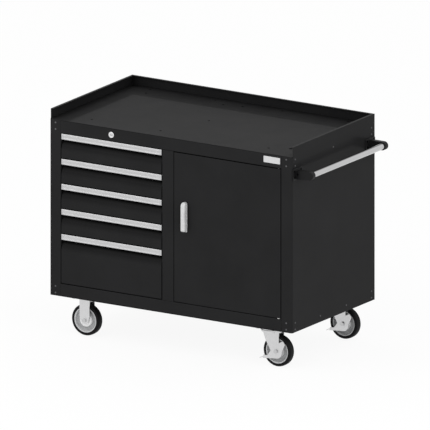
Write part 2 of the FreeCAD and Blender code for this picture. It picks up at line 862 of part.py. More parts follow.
def blank_plate():
    """The bare plate at the right of the top rail."""
    right = body_width - blank_plate_right
    middle = worktop_top - blank_plate_drop
    return outline([(right - blank_plate_width, middle - blank_plate_height / 2),
                    (right, middle - blank_plate_height / 2), (right, middle + blank_plate_height / 2),
                    (right - blank_plate_width, middle + blank_plate_height / 2)],
                   [1.5, 1.5, 1.5, 1.5], "xz", -blank_plate_thickness, 0)


def push_bar_bracket():
    """The front bracket: a flange on the side panel and an arm round the bar's end."""
    front = bracket_front
    back = front + bracket_thickness
    middle = front + bracket_thickness / 2
    side = body_width
    arm_low = bar_height - bracket_end_radius - (bracket_arm_height - 2 * bracket_end_radius)
    arm_high = bar_height + bracket_end_radius
    flange_low = bar_height - bracket_flange_height / 2
    flange_high = bar_height + bracket_flange_height / 2
    near = middle - bracket_flange_width / 2
    far = middle + bracket_flange_width / 2
    flange = outline([(near, flange_low), (far, flange_low), (far, flange_high), (near, flange_high)],
                     [6, 6, 6, 6], "yz", side, side + bracket_flange_thickness)
    arm = carried(Part.makePolygon([V(side, 0, arm_low), V(bar_x, 0, bar_height - bracket_end_radius),
                                    V(bar_x, 0, arm_high), V(side, 0, arm_high), V(side, 0, arm_low)]),
                  "xz", front, back)
    end = rod(bracket_end_radius, V(bar_x, front, bar_height), V(bar_x, back, bar_height))
    socket = rod(bar_radius + fixing_clearance, V(bar_x, back - bracket_socket, bar_height),
                 V(bar_x, back + 1, bar_height))
    recess_x = side + bracket_recess_reach
    recess = rod(bracket_recess_radius, V(recess_x, front - 1, bar_height),
                 V(recess_x, front + bracket_recess_depth, bar_height))
    return join([flange, arm, end]).cut(socket).cut(recess)


def push_bar_brackets():
    """The two brackets, mirror images front and rear."""
    front = push_bar_bracket()
    return [front, front.mirror(V(0, body_depth / 2, 0), Y_AXIS)]


def push_bar():
    """The tube held between the brackets."""
    start = bracket_front + bracket_thickness - bracket_socket
    ends = (V(bar_x, start, bar_height), V(bar_x, body_depth - start, bar_height))
    return rod(bar_radius, *ends).cut(rod(bar_radius - bar_wall, *ends))


def worktop_screws():
    """The screws that hold the worktop."""
    screws = []
    for place in worktop_screw_places:
        top = on_worktop(place)
        shank = rod(rivet_shank_radius, top, top - Z_AXIS * (plate + screw_grip))
        screws.append(join([screw_head(top), shank]))
    return screws


def caster_centres():
    """The middle of each caster's plate: fixed pair, then swivel pair."""
    fixed = [(fixed_caster_inset, y) for y in caster_rows]
    return fixed, [(swivel_x, y) for y in caster_rows]


def caster_bolt_places():
    """The sixteen bolts of the four plates."""
    places = []
    for centres in caster_centres():
        for x, y in centres:
            for dx in (-mount_bolt_x / 2, mount_bolt_x / 2):
                for dy in (-mount_bolt_y / 2, mount_bolt_y / 2):
                    places.append((x + dx, y + dy))
    return places


def caster_bolts():
    """Each bolt with its nut above the base pan."""
    bolts = []
    for x, y in caster_bolt_places():
        seat = V(x, y, mount_plate_bottom)
        head = hexagon(bolt_head_radius, seat - Z_AXIS * bolt_head_height, seat)
        shank = rod(bolt_radius, seat, V(x, y, pan_top + bolt_nut_height + bolt_tail))
        nut = hexagon(bolt_head_radius, V(x, y, pan_top), V(x, y, pan_top + bolt_nut_height))
        bolts.append(join([head, shank, nut]))
    return bolts


def mount_plate(x, y):
    """A caster's top plate with its four bolt holes."""
    half_x, half_y = mount_plate_length / 2, mount_plate_width / 2
    block = outline([(x - half_x, y - half_y), (x + half_x, y - half_y), (x + half_x, y + half_y),
                     (x - half_x, y + half_y)], [8, 8, 8, 8], "xy", mount_plate_bottom, body_bottom)
    for dx in (-mount_bolt_x / 2, mount_bolt_x / 2):
        for dy in (-mount_bolt_y / 2, mount_bolt_y / 2):
            hole = rod(bolt_radius + fixing_clearance, V(x + dx, y + dy, mount_plate_bottom - 1),
                       V(x + dx, y + dy, body_bottom + 1))
            block = block.cut(hole)
    return block


def axle_hole(x, y):
    """The axle's hole through both legs of a fork."""
    return rod(axle_radius, V(x, y - leg_outer - 5, wheel_axis_z), V(x, y + leg_outer + 5, wheel_axis_z))


def fixed_fork(x, y):
    """A fixed caster's plate and fork, pressed in one."""
    bridge = mount_plate_bottom
    foot = wheel_axis_z
    leg_end = foot - 2 * fixed_leg_foot
    half = fixed_leg_width / 2
    near, far = y - leg_outer, y + leg_outer
    points = [(far, leg_end), (far, bridge), (near, bridge), (near, leg_end)]
    arch = folded_sheet(points, fork_wall, [fork_shoulder, fork_shoulder], "yz", x - half, x + half)
    shoulder = wheel_axis_z + fixed_leg_foot * 1.3
    leg = outline([(x - half, shoulder), (x - fixed_leg_foot, foot - fixed_leg_foot),
                   (x + fixed_leg_foot, foot - fixed_leg_foot), (x + half, shoulder), (x + half, bridge + 1),
                   (x - half, bridge + 1)], [4, fixed_leg_foot * 0.8, fixed_leg_foot * 0.8, 4, 0, 0], "xz",
                  y - leg_outer - 1, y + leg_outer + 1)
    return join([mount_plate(x, y), arch.common(leg).cut(axle_hole(x, y))])


def axle(x, y, side):
    """A caster's axle bolt: shaft, hexagon head and nut."""
    start = V(x, y - side, wheel_axis_z)
    end = V(x, y + side, wheel_axis_z)
    shaft = rod(axle_radius, start, end)
    head = hexagon(axle_head_radius, start - Y_AXIS * axle_head_height, start)
    nut = hexagon(axle_head_radius, end, end + Y_AXIS * axle_head_height)
    return join([shaft, head, nut])


def fixed_axle(x, y):
    """The axle of a fixed caster, tight on its fork."""
    return axle(x, y, leg_outer)


def swivel_axle(y):
    """The axle of a swivel caster, outside the brake lever's two plates."""
    return axle(swivel_wheel_x, y, leg_outer + 2 * pedal_gap + pedal_wall)


def swivel_plate(y):
    """A swivel caster's plate, upper race and king pin."""
    race_bottom = mount_plate_bottom - race_height
    crown_bottom = race_bottom - race_gap - crown_height
    race = rod(race_radius, V(swivel_x, y, race_bottom), V(swivel_x, y, mount_plate_bottom))
    pin = rod(king_pin_radius, V(swivel_x, y, crown_bottom - race_gap), V(swivel_x, y, race_bottom))
    head = rod(king_pin_radius + 4, V(swivel_x, y, crown_bottom - race_gap - king_pin_head),
               V(swivel_x, y, crown_bottom - race_gap))
    return join([mount_plate(swivel_x, y), race, pin, head])


def swivel_fork(y):
    """A swivel caster's crown and its two legs, raked back to the wheel."""
    crown_top = mount_plate_bottom - race_height - race_gap
    crown_bottom = crown_top - crown_height
    crown = Part.makeCone(crown_radius - 4, crown_radius, crown_height, V(swivel_x, y, crown_bottom), Z_AXIS)
    crown = crown.common(box(swivel_x - crown_radius, swivel_x + crown_radius, y - crown_radius,
                             y + crown_radius, crown_bottom, crown_top))
    bore = rod(king_pin_radius + running_clearance, V(swivel_x, y, crown_bottom - 1),
               V(swivel_x, y, crown_top + 1))
    back = swivel_x - swivel_leg_back
    front = swivel_wheel_x + swivel_leg_front
    foot = swivel_leg_foot
    waist = wheel_axis_z + swivel_leg_waist
    low = wheel_axis_z - foot
    profile = outline([(back, crown_top), (back + 15, waist), (swivel_wheel_x - foot, low),
                       (swivel_wheel_x + foot, low), (front, waist), (front, crown_top)],
                      [0, 6, foot * 0.8, foot * 0.8, 6, 0], "xz", y - leg_outer, y + leg_outer)
    gap = box(back - 60, front + 60, y - leg_inner, y + leg_inner, 0, crown_bottom)
    body = join([profile.cut(gap), crown]).cut(bore)
    return body.cut(axle_hole(swivel_wheel_x, y))


def brake_pedal(y):
    """The brake lever: a plate outside each leg, joined by the tread."""
    centre = V(swivel_wheel_x, y, wheel_axis_z)
    inner = leg_outer + pedal_gap
    outer = inner + pedal_wall
    points, radii = [], []
    for across, up, bend in pedal_profile:
        points.append((centre.x + wheel_radius * across, centre.z + wheel_radius * up))
        radii.append(wheel_radius * bend)
    cheek = outline(points, radii, "xz", y - outer, y - inner)
    cheek = cheek.cut(rod(axle_radius + running_clearance, centre - Y_AXIS * (outer + 1), centre))
    far_cheek = cheek.mirror(V(0, y, 0), Y_AXIS)
    toe, toe_foot = points[0]
    heel = points[1][0]
    tread_top = (toe_foot + points[1][1]) / 2
    tread_start = toe - pedal_tread_length
    thick = pedal_tread_thickness
    edge = thick * 0.4
    tread = outline([(tread_start, toe_foot - thick), (tread_start, toe_foot), (toe, tread_top),
                     (heel, tread_top), (heel, tread_top - thick), (toe, tread_top - thick)],
                    [edge, edge, edge, 0, 0, edge], "xz", y - outer, y + outer)
    return join([cheek, far_cheek, tread])


def rim(x, y):
    """A wheel's light rim: band, web, hub discs and hub."""
    centre = V(x, y, wheel_axis_z)
    half_band, half_web = rim_width / 2, rim_web / 2
    half_disc = hub_disc_width / 2
    hub_end = leg_inner - hub_end_gap
    bore = axle_radius + running_clearance
    inner_band = rim_radius - rim_band
    upper = [(bore, hub_end), (hub_radius, hub_end), (hub_disc_radius - 2, half_disc),
             (hub_disc_radius, half_disc - 2), (hub_disc_radius, half_web + 2),
             (hub_disc_radius + 2, half_web), (inner_band - 4, half_web), (inner_band, half_band - 2),
             (inner_band + 1, half_band), (rim_radius, half_band)]
    lower = [(radius, -offset) for radius, offset in reversed(upper)]
    return turned(upper + lower, centre)


def tyre(x, y):
    """A wheel's rubber tyre with rounded shoulders."""
    centre = V(x, y, wheel_axis_z)
    half = tyre_width / 2
    steps = 5
    profile = [(rim_radius, -half), (rim_radius, half)]
    for step in range(steps + 1):
        turn = math.radians(90 * step / steps)
        profile.append((wheel_radius - tyre_shoulder + tyre_shoulder * math.sin(turn),
                        half - tyre_shoulder + tyre_shoulder * math.cos(turn)))
    for step in range(steps + 1):
        turn = math.radians(90 * (steps - step) / steps)
        profile.append((wheel_radius - tyre_shoulder + tyre_shoulder * math.sin(turn),
                        -(half - tyre_shoulder + tyre_shoulder * math.cos(turn))))
    return turned(profile, centre)


def write_cabinet():
    """Every piece of the body that doesn't move."""
    left_panel = side_panel()
    left_liner = liner()
    body_middle = body_width / 2
    write("side_panel_left", left_panel)
    write("side_panel_right", mirrored_x(left_panel, body_middle))
    write("back_panel", back_panel())
    write("base_pan", base_pan())
    write("worktop", worktop())
    write("top_rail", top_rail())
    write("bottom_rail", bottom_rail())
    write("centre_partition", centre_partition())
    write("liner_left", left_liner)
    write("liner_right", mirrored_x(left_liner, body_middle))
    write("shelves", [shelf(top) for top in shelf_tops()])
    write("shelf_clips", shelf_clips())
    runners = [cabinet_runner(bottom) for bottom, height in drawer_bottoms()]
    write("cabinet_runners", runners + [mirrored_x(runner, drawer_middle) for runner in runners])
    write("push_bar_brackets", push_bar_brackets())
    write("push_bar", push_bar())
    write("blank_plate", blank_plate())
    write("lock_housing", lock_housing())
    write("hinge_pins", hinge_pins())
    rivets = [rivet(point, outward) for point, outward in left_rivets()]
    write("panel_rivets", rivets + [mirrored_x(single, body_middle) for single in rivets])
    write("worktop_screws", worktop_screws())


def write_moving_furniture():
    """The drawers, the lock and the door."""
    for number, (bottom, height) in enumerate(drawer_bottoms(), start=1):
        write("drawer_%d_box" % number, drawer(bottom, height))
        write("drawer_%d_handle" % number, drawer_handle(bottom, height))
        left = carriage(bottom)
        write("runner_carriage_%d" % number, [left, mirrored_x(left, drawer_middle)])
    write("lock_plug", lock_plug())
    write("lock_bar", lock_bar())
    write("door_skin", door_skin())
    write("door_liner", door_liner())
    write("handle_escutcheon", handle_escutcheon())
    write("handle_lever", handle_lever())
    write("latch_tongue", latch_tongue())


def write_casters():
    """The four casters."""
    write("caster_bolts", caster_bolts())
    write("fixed_forks", [fixed_fork(fixed_caster_inset, y) for y in caster_rows])
    write("fixed_axles", [fixed_axle(fixed_caster_inset, y) for y in caster_rows])
    write("swivel_plates", [swivel_plate(y) for y in caster_rows])
    for end, y in zip(("front", "rear"), caster_rows):
        write("swivel_fork_" + end, swivel_fork(y))
        write("swivel_axle_" + end, swivel_axle(y))
        write("brake_pedal_" + end, brake_pedal(y))
        for side, x in (("left", fixed_caster_inset), ("right", swivel_wheel_x)):
            write("rim_%s_%s" % (end, side), rim(x, y))
            write("tyre_%s_%s" % (end, side), tyre(x, y))


os.makedirs("parts", exist_ok=True)
write_cabinet()
write_moving_furniture()
write_casters()
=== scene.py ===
import json
import math

import bmesh
import bpy
import numpy as np
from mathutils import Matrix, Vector


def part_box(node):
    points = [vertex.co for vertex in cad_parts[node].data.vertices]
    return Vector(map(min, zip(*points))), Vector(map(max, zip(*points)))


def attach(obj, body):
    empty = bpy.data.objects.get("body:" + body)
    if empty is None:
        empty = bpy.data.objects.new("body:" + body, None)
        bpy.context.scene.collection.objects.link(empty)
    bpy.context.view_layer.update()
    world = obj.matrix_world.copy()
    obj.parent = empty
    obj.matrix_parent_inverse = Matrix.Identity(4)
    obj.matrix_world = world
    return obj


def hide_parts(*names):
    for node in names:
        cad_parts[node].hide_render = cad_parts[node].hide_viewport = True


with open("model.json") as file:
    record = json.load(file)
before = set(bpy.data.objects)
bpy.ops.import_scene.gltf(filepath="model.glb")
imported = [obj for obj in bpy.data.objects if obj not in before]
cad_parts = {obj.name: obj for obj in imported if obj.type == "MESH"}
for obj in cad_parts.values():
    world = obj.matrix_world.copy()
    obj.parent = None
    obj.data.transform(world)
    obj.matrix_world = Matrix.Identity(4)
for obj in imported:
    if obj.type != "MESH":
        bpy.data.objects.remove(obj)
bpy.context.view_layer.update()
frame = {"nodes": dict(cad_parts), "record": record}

bl_info = {
    "name": "Rolling tool cabinet",
    "version": (1, 0, 0),
    "blender": (4, 5, 0),
    "location": "3D Viewport > Sidebar > Cabinet",
    "description": "Finishes a rolling tool cabinet: paint, handles, push bar, lock, fixings and casters",
    "category": "Object",
}

MM = 0.001
WELD = 1e-6
NODES = frame["nodes"]
ENDS = ("front", "rear")
SIDES = ("left", "right")
DRAWERS = range(1, 6)
WHITE = (1.0, 1.0, 1.0, 1.0)


def middle(node):
    """The centre of a CAD node's box."""
    low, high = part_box(node)
    return np.array((low + high) / 2)


def placed(name, data):
    """A new object in the scene at the origin."""
    piece = bpy.data.objects.new(name, data)
    bpy.context.scene.collection.objects.link(piece)
    return piece


# Shapes

def skin(points, wrap_u=False, wrap_v=False, caps=False):
    """Vertices and faces of a surface given as a grid of points.

    Row i, column j is the surface at the parameters u_i, v_j. A wrapped direction joins its
    last line to its first; caps close the first and last rows, each with one polygon.
    """
    rows, columns = points.shape[:2]
    index = np.arange(rows * columns).reshape(rows, columns)
    if wrap_u:
        index = np.vstack([index, index[:1]])
    if wrap_v:
        index = np.hstack([index, index[:, :1]])
    quads = np.stack([index[:-1, :-1], index[1:, :-1], index[1:, 1:], index[:-1, 1:]], axis=-1).reshape(-1, 4)
    faces = quads.tolist()
    if caps:
        faces.append(np.arange(columns).tolist())
        faces.append((np.arange(columns)[::-1] + (rows - 1) * columns).tolist())
    return points.reshape(-1, 3), faces


def gathered(parts):
    """Several (vertices, faces) pairs as one."""
    points, faces, start = [], [], 0
    for vertices, polygons in parts:
        points.append(vertices)
        faces += [[corner + start for corner in polygon] for polygon in polygons]
        start += len(vertices)
    return np.vstack(points), faces


def new_piece(name, parts, material, crease=32.0):
    """A finished object at the origin from (vertices, faces) pairs, smooth below the crease angle."""
    points, faces = gathered(parts)
    mesh = bpy.data.meshes.new(name)
    mesh.from_pydata(points.tolist(), [], faces)
    tidy = bmesh.new()
    tidy.from_mesh(mesh)
    bmesh.ops.remove_doubles(tidy, verts=tidy.verts, dist=WELD)
    bmesh.ops.recalc_face_normals(tidy, faces=tidy.faces)
    tidy.to_mesh(mesh)
    tidy.free()
    mesh.shade_smooth()
    mesh.set_sharp_from_angle(angle=math.radians(crease))
    piece = placed(name, mesh)
    mesh.materials.append(material)
    return piece


def turned(profile, centre, axis, segments):
    """A grid of points: a profile of (radius, offset) in millimetres turned once round an axis.

    Point (i, j) is centre + offset_i along the axis + radius_i * (cos t_j, sin t_j) across it,
    with t_j running once round.
    """
    turn = np.linspace(0, 2 * np.pi, segments, endpoint=False)[None, :]
    radius = np.array([point[0] for point in profile])[:, None] * MM
    offset = np.array([point[1] for point in profile])[:, None] * MM + 0 * turn
    first, second = radius * np.cos(turn), radius * np.sin(turn)
    across = {"x": (offset, first, second), "y": (first, offset, -second), "z": (first, second, offset)}[axis]
    return np.stack(across, axis=-1) + np.asarray(centre)


def revolved(profile, centre, axis="y", segments=96):
    """A ring: a closed profile turned once round, which wraps both ways."""
    return skin(turned(profile, centre, axis, segments).swapaxes(0, 1), wrap_u=True, wrap_v=True)


def capped(profile, centre, axis="y", segments=64):
    """A solid of revolution whose profile starts and ends near the axis: the ends are flat polygons."""
    return skin(turned(profile, centre, axis, segments), wrap_v=True, caps=True)


def flipped(profile, sign):
    """A profile with its offsets times a sign, so that it points either way along its axis."""
    return [(radius, sign * offset) for radius, offset in profile]


def mirrored_ring(upper):
    """A closed ring section from its near half: each (radius, offset) again at (radius, -offset)."""
    return upper + flipped(upper[::-1], -1)


def rounded_outline(corners, radii, steps=8):
    """Points along a closed outline of (u, v) corners in millimetres, each corner an arc.

    At a corner with unit edges a (back) and b (on), the arc's centre lies on the bisector at
    radius / sin(half angle), and the arc runs between the feet of that centre on both edges.
    """
    corners = np.array(corners, float)
    points = []
    for corner, before, after, radius in zip(corners, np.roll(corners, 1, 0), np.roll(corners, -1, 0), radii):
        back = (before - corner) / np.linalg.norm(before - corner)
        on = (after - corner) / np.linalg.norm(after - corner)
        half = np.arccos(np.clip(back @ on, -1, 1)) / 2
        bisector = (back + on) / np.linalg.norm(back + on)
        centre = corner + bisector * radius / np.sin(half)
        start = corner + back * radius / np.tan(half) - centre
        end = corner + on * radius / np.tan(half) - centre
        share = np.linspace(0, 1, steps)[:, None]
        sweep = np.pi - 2 * half
        arc = (start * np.sin((1 - share) * sweep) + end * np.sin(share * sweep)) / np.sin(sweep)
        points.append(centre + arc)
    return np.vstack(points)


def pressed(outline, low, high, plane, edge=1.0, steps=5):
    """A plate with a closed outline and rounded edges, between two heights, in millimetres.

    Point (i, j) is outline_j - normal_j * inset_i, at height_i, where inset = edge * (1 - sin a)
    and the height leaves its face by edge * (1 - cos a), with a from 0 to 90 degrees at both faces.
    """
    ahead = np.roll(outline, -1, 0) - outline
    behind = outline - np.roll(outline, 1, 0)
    ahead /= np.linalg.norm(ahead, axis=1)[:, None] + 1e-12
    behind /= np.linalg.norm(behind, axis=1)[:, None] + 1e-12
    tangent = ahead + behind
    tangent /= np.linalg.norm(tangent, axis=1)[:, None]
    area = np.sum(outline[:, 0] * np.roll(outline[:, 1], -1) - np.roll(outline[:, 0], -1) * outline[:, 1])
    normal = np.stack([tangent[:, 1], -tangent[:, 0]], axis=-1) * np.sign(area)
    angle = np.linspace(0, np.pi / 2, steps)
    inset = edge * (1 - np.sin(angle))
    rise = edge * (1 - np.cos(angle))
    insets = np.concatenate([inset, inset[::-1]])
    heights = np.concatenate([low + rise, high - rise[::-1]])
    flat = outline[None, :, :] - normal[None, :, :] * insets[:, None, None]
    height = heights[:, None] + 0 * flat[:, :, 0]
    u, v = flat[:, :, 0], flat[:, :, 1]
    across = {"yz": (height, u, v), "xz": (u, height, v)}[plane]
    return skin(np.stack(across, axis=-1) * MM, wrap_v=True, caps=True)


# Finishes

class Tree:
    """A short way to add nodes to a material or a node group."""

    def __init__(self, tree):
        self.tree = tree

    def add(self, kind, **settings):
        """A node with its properties set; keys that start with in_ set an input by its name."""
        node = self.tree.nodes.new(kind)
        for key, value in settings.items():
            if key.startswith("in_"):
                node.inputs[key[3:].replace("_", " ")].default_value = value
            else:
                setattr(node, key, value)
        return node

    def link(self, source, target):
        """Join an output to an input."""
        self.tree.links.new(source, target)

    def math(self, operation, first, second, clamp=False):
        """A Math node on two sockets or numbers, and its output."""
        node = self.add("ShaderNodeMath", operation=operation, use_clamp=clamp)
        for socket, value in zip(node.inputs, (first, second)):
            if isinstance(value, (int, float)):
                socket.default_value = value
            else:
                self.link(value, socket)
        return node.outputs[0]

    def mix(self, factor, first, second):
        """A colour mix by a factor socket, and its output."""
        node = self.add("ShaderNodeMix", data_type="RGBA")
        self.link(factor, node.inputs[0])
        for socket, value in zip(node.inputs[6:8], (first, second)):
            if isinstance(value, tuple):
                socket.default_value = value
            else:
                self.link(value, socket)
        return node.outputs[2]

    def spread(self, source, low, high, start, end):
        """A Map Range from one span to another, and its output."""
        node = self.add("ShaderNodeMapRange")
        self.link(source, node.inputs[0])
        for socket, value in zip(node.inputs[1:5], (low, high, start, end)):
            socket.default_value = value
        return node.outputs[0]

    def noise(self, place, scale, detail, roughness):
        """A noise texture at places and a scale given by sockets, and its value output."""
        node = self.add("ShaderNodeTexNoise", in_Detail=detail, in_Roughness=roughness)
        self.link(place, node.inputs["Vector"])
        self.link(scale, node.inputs["Scale"])
        return node.outputs["Fac"]

    def height(self):
        """How far the surface's flat normal points up, from -1 to 1."""
        split = self.add("ShaderNodeSeparateXYZ")
        self.link(self.add("ShaderNodeNewGeometry").outputs["Normal"], split.inputs[0])
        return split.outputs["Z"]

    def straight_view(self):
        """1 on rays from the camera and on those that it sees by gloss or through glass."""
        ray = self.add("ShaderNodeLightPath")
        indirect = self.math("ADD", ray.outputs["Is Glossy Ray"], ray.outputs["Is Transmission Ray"])
        return self.math("ADD", ray.outputs["Is Camera Ray"], indirect, clamp=True)

    def first(self, kind):
        """The first node of a type that the tree starts with."""
        return next(node for node in self.tree.nodes if node.type == kind)


NUMBER, VECTOR = "NodeSocketFloat", "NodeSocketVector"


def group(name, inputs, outputs):
    """An empty node group, and its tree, input node and output node.

    Inputs are labels with their defaults, outputs are labels with their kinds.
    """
    made = bpy.data.node_groups.new(name, "ShaderNodeTree")
    for label, default in inputs.items():
        kind = VECTOR if isinstance(default, tuple) else NUMBER
        made.interface.new_socket(name=label, in_out="INPUT", socket_type=kind).default_value = default
    for label, kind in outputs.items():
        made.interface.new_socket(name=label, in_out="OUTPUT", socket_type=kind)
    tree = Tree(made)
    return made, tree, tree.add("NodeGroupInput"), tree.add("NodeGroupOutput")


def grain_group():
    """Fine, even grain on Object coordinates: a height and a value that varies slowly."""
    made, t, given, out = group(
        "Surface grain", {"Scale": 900.0, "Patch": 6.0, "Stretch": (1.0, 1.0, 1.0)},
        {"Height": NUMBER, "Variation": NUMBER})
    place = t.add("ShaderNodeTexCoord")
    stretched = t.add("ShaderNodeVectorMath", operation="MULTIPLY")
    t.link(place.outputs["Object"], stretched.inputs[0])
    t.link(given.outputs["Stretch"], stretched.inputs[1])
    fine = t.noise(stretched.outputs[0], given.outputs["Scale"], 3.0, 0.6)
    slow = t.noise(place.outputs["Object"], given.outputs["Patch"], 4.0, 0.55)
    t.link(fine, out.inputs["Height"])
    t.link(slow, out.inputs["Variation"])
    return made


def edge_group():
    """A mask of convex and concave edges, from how far a rounded normal leaves the flat one; the finishes
    lighten there, wear with a painted highlight.
    """
    made, t, given, out = group(
        "Edge highlight and wear", {"Radius": 1.2 * MM, "Amount": 1.0, "Breakup": 90.0}, {"Mask": NUMBER, "Normal": VECTOR})
    rounded = t.add("ShaderNodeBevel", samples=6)
    t.link(given.outputs["Radius"], rounded.inputs["Radius"])
    flat = t.add("ShaderNodeNewGeometry")
    facing = t.add("ShaderNodeVectorMath", operation="DOT_PRODUCT")
    t.link(rounded.outputs["Normal"], facing.inputs[0])
    t.link(flat.outputs["Normal"], facing.inputs[1])
    mask = t.spread(facing.outputs["Value"], 0.999, 0.82, 0.0, 1.0)
    place = t.add("ShaderNodeTexCoord")
    patchy = t.noise(place.outputs["Object"], given.outputs["Breakup"], 5.0, 0.65)
    wear_and_painted_light = t.spread(patchy, 0.35, 0.7, 0.25, 1.0)
    strength = t.math("MULTIPLY", t.math("MULTIPLY", mask, wear_and_painted_light), given.outputs["Amount"], clamp=True)
    t.link(strength, out.inputs["Mask"])
    t.link(rounded.outputs["Normal"], out.inputs["Normal"])
    return made


def dust_group():
    """A thin veil on upward faces, denser in patches."""
    made, t, given, out = group("Dust", {"Amount": 0.3, "Scale": 14.0}, {"Mask": NUMBER})
    upward = t.spread(t.height(), 0.3, 1.0, 0.15, 1.0)
    place = t.add("ShaderNodeTexCoord")
    cloud = t.noise(place.outputs["Object"], given.outputs["Scale"], 6.0, 0.6)
    patches = t.spread(cloud, 0.4, 0.75, 0.2, 1.0)
    veil = t.math("MULTIPLY", t.math("MULTIPLY", upward, patches), given.outputs["Amount"], clamp=True)
    t.link(veil, out.inputs["Mask"])
    return made


def painted_shade_group():
    """Painted shade by how open a place is: 1 on free upright faces, darker in gaps and on faces that look
    down.

    Tilt takes its share off faces that lean back or look up: painted shade under overhangs such as the
    drawers' handles.
    """
    made, t, given, out = group("Painted shade", {"Distance": 50 * MM, "Depth": 0.7, "Tilt": 0.0}, {"Open": NUMBER})
    shade = t.add("ShaderNodeAmbientOcclusion", samples=8)
    t.link(given.outputs["Distance"], shade.inputs["Distance"])
    closed = t.spread(shade.outputs["AO"], 0.25, 0.95, 1.0, 0.0)
    free = t.math("SUBTRACT", 1.0, t.math("MULTIPLY", closed, given.outputs["Depth"]))
    height = t.height()
    upright = t.math("MULTIPLY", free, t.spread(height, -0.6, -0.02, 0.42, 1.0))
    leaning = t.math("MULTIPLY", t.spread(height, 0.04, 0.6, 0.0, 1.0), given.outputs["Tilt"])
    t.link(t.math("MULTIPLY", upright, t.math("SUBTRACT", 1.0, leaning)), out.inputs["Open"])
    return made


GROUPS = {}


def shared(name):
    """The shared node group of that name, built on first use."""
    if name not in GROUPS:
        makers = {"grain": grain_group, "edge": edge_group, "dust": dust_group, "painted_shade": painted_shade_group}
        GROUPS[name] = makers[name]()
    return GROUPS[name]


def use(t, name, **values):
    """A shared group placed in a material with its own values."""
    node = t.add("ShaderNodeGroup", node_tree=shared(name))
    for key, value in values.items():
        node.inputs[key].default_value = value
    return node


def rgba(colour, share=1.0):
    """A linear colour with alpha, scaled."""
    return tuple(min(1.0, channel * share) for channel in colour[:3]) + (1.0,)


def blank_material(name):
    """A material with an empty tree: the tree, its Principled shader and the material."""
    material = bpy.data.materials.new(name)
    material.use_nodes = True
    t = Tree(material.node_tree)
    return t, t.first("BSDF_PRINCIPLED"), material


def set_relief(t, shader, grain, edge, strength, distance):
    """The shader's normal: the grain's height as a bump on the rounded edges."""
    bump = t.add("ShaderNodeBump", in_Strength=strength, in_Distance=distance)
    t.link(grain.outputs["Height"], bump.inputs["Height"])
    t.link(edge.outputs["Normal"], bump.inputs["Normal"])
    t.link(bump.outputs[0], shader.inputs["Normal"])


PAINT_DUST = (0.2, 0.195, 0.185, 1.0)
METAL_DUST = (0.3, 0.29, 0.28, 1.0)
PLASTIC_DUST = (0.22, 0.21, 0.2, 1.0)
GAP_SHADE = (0.001, 0.001, 0.001, 1.0)


def powder_coat(name, colour, sheen, coat_roughness, depth=0.6, tilt=0.0, texture=0.03 * MM, edge_light=2.2):
    """Powder-coated sheet: a dark base, a soft clear sheen with a fine ripple, lighter edges that are wear
    with a painted highlight, and painted shade in gaps, under overhangs and on faces that look down.
    """
    t, shader, material = blank_material(name)
    grain = use(t, "grain", Scale=700.0, Patch=5.0)
    edge = use(t, "edge", Radius=0.0011, Amount=0.8)
    dust = use(t, "dust", Amount=0.02)
    painted_shade = use(t, "painted_shade", Distance=0.05, Depth=depth, Tilt=tilt)
    patches = t.spread(grain.outputs["Variation"], 0.3, 0.7, 0.0, 1.0)
    varied = t.mix(patches, rgba(colour, 0.9), rgba(colour, 1.1))
    # Lighter edges: wear and a painted highlight.
    rubbed_and_highlit = t.mix(edge.outputs["Mask"], varied, rgba(colour, edge_light))
    dusty = t.mix(dust.outputs["Mask"], rubbed_and_highlit, PAINT_DUST)
    # Painted shade: the colour goes towards GAP_SHADE in gaps, under overhangs and on faces that look down.
    t.link(t.mix(painted_shade.outputs["Open"], GAP_SHADE, dusty), shader.inputs["Base Color"])
    t.link(t.spread(grain.outputs["Variation"], 0.25, 0.75, 0.5, 0.62), shader.inputs["Roughness"])
    shader.inputs["Specular IOR Level"].default_value = 0.02
    coat = t.math("MULTIPLY", t.spread(grain.outputs["Variation"], 0.25, 0.75, 0.93, 1.07), sheen)
    # Painted shade also takes the clear sheen off those places.
    t.link(t.math("MULTIPLY", coat, painted_shade.outputs["Open"]), shader.inputs["Coat Weight"])
    shader.inputs["Coat Roughness"].default_value = coat_roughness
    shader.inputs["Coat IOR"].default_value = 1.5
    set_relief(t, shader, grain, edge, 0.35, texture)
    return material


def brushed_metal(name, colour, roughness, stretch, contrast=0.08, ripple=0.02 * MM, edge_amount=0.5,
                  metallic=1.0, scale=900.0, dusty=0.1, crown=1.0):
    """Bare or plated metal with lines drawn along one direction and lighter edges, wear with a painted
    highlight.

    Faces that look straight up keep the share of the colour that crown gives: a painted dark reflection on
    the top.
    """
    t, shader, material = blank_material(name)
    grain = use(t, "grain", Scale=scale, Patch=18.0, Stretch=stretch)
    edge = use(t, "edge", Radius=0.0007, Amount=edge_amount)
    dust = use(t, "dust", Amount=dusty, Scale=30.0)
    lines = t.mix(t.spread(grain.outputs["Height"], 0.3, 0.7, 0.0, 1.0), rgba(colour, 1 - contrast),
                  rgba(colour, 1 + contrast))
    cloudy = t.mix(t.spread(grain.outputs["Variation"], 0.35, 0.7, 0.0, 0.35), lines, rgba(colour, 0.9))
    # Lighter edges: wear and a painted highlight.
    wear_and_painted_light = t.mix(edge.outputs["Mask"], cloudy, rgba(colour, 1.25))
    # Painted reflection: faces that look straight up go darker by crown.
    if crown < 1.0:
        wear_and_painted_light = t.mix(t.spread(t.height(), 0.82, 0.92, 0.0, 1.0), wear_and_painted_light, rgba(colour, crown))
    t.link(t.mix(dust.outputs["Mask"], wear_and_painted_light, METAL_DUST), shader.inputs["Base Color"])
    t.link(t.spread(grain.outputs["Height"], 0.3, 0.7, roughness * 0.85, roughness * 1.2),
           shader.inputs["Roughness"])
    shader.inputs["Metallic"].default_value = metallic
    set_relief(t, shader, grain, edge, 0.3, ripple)
    return material


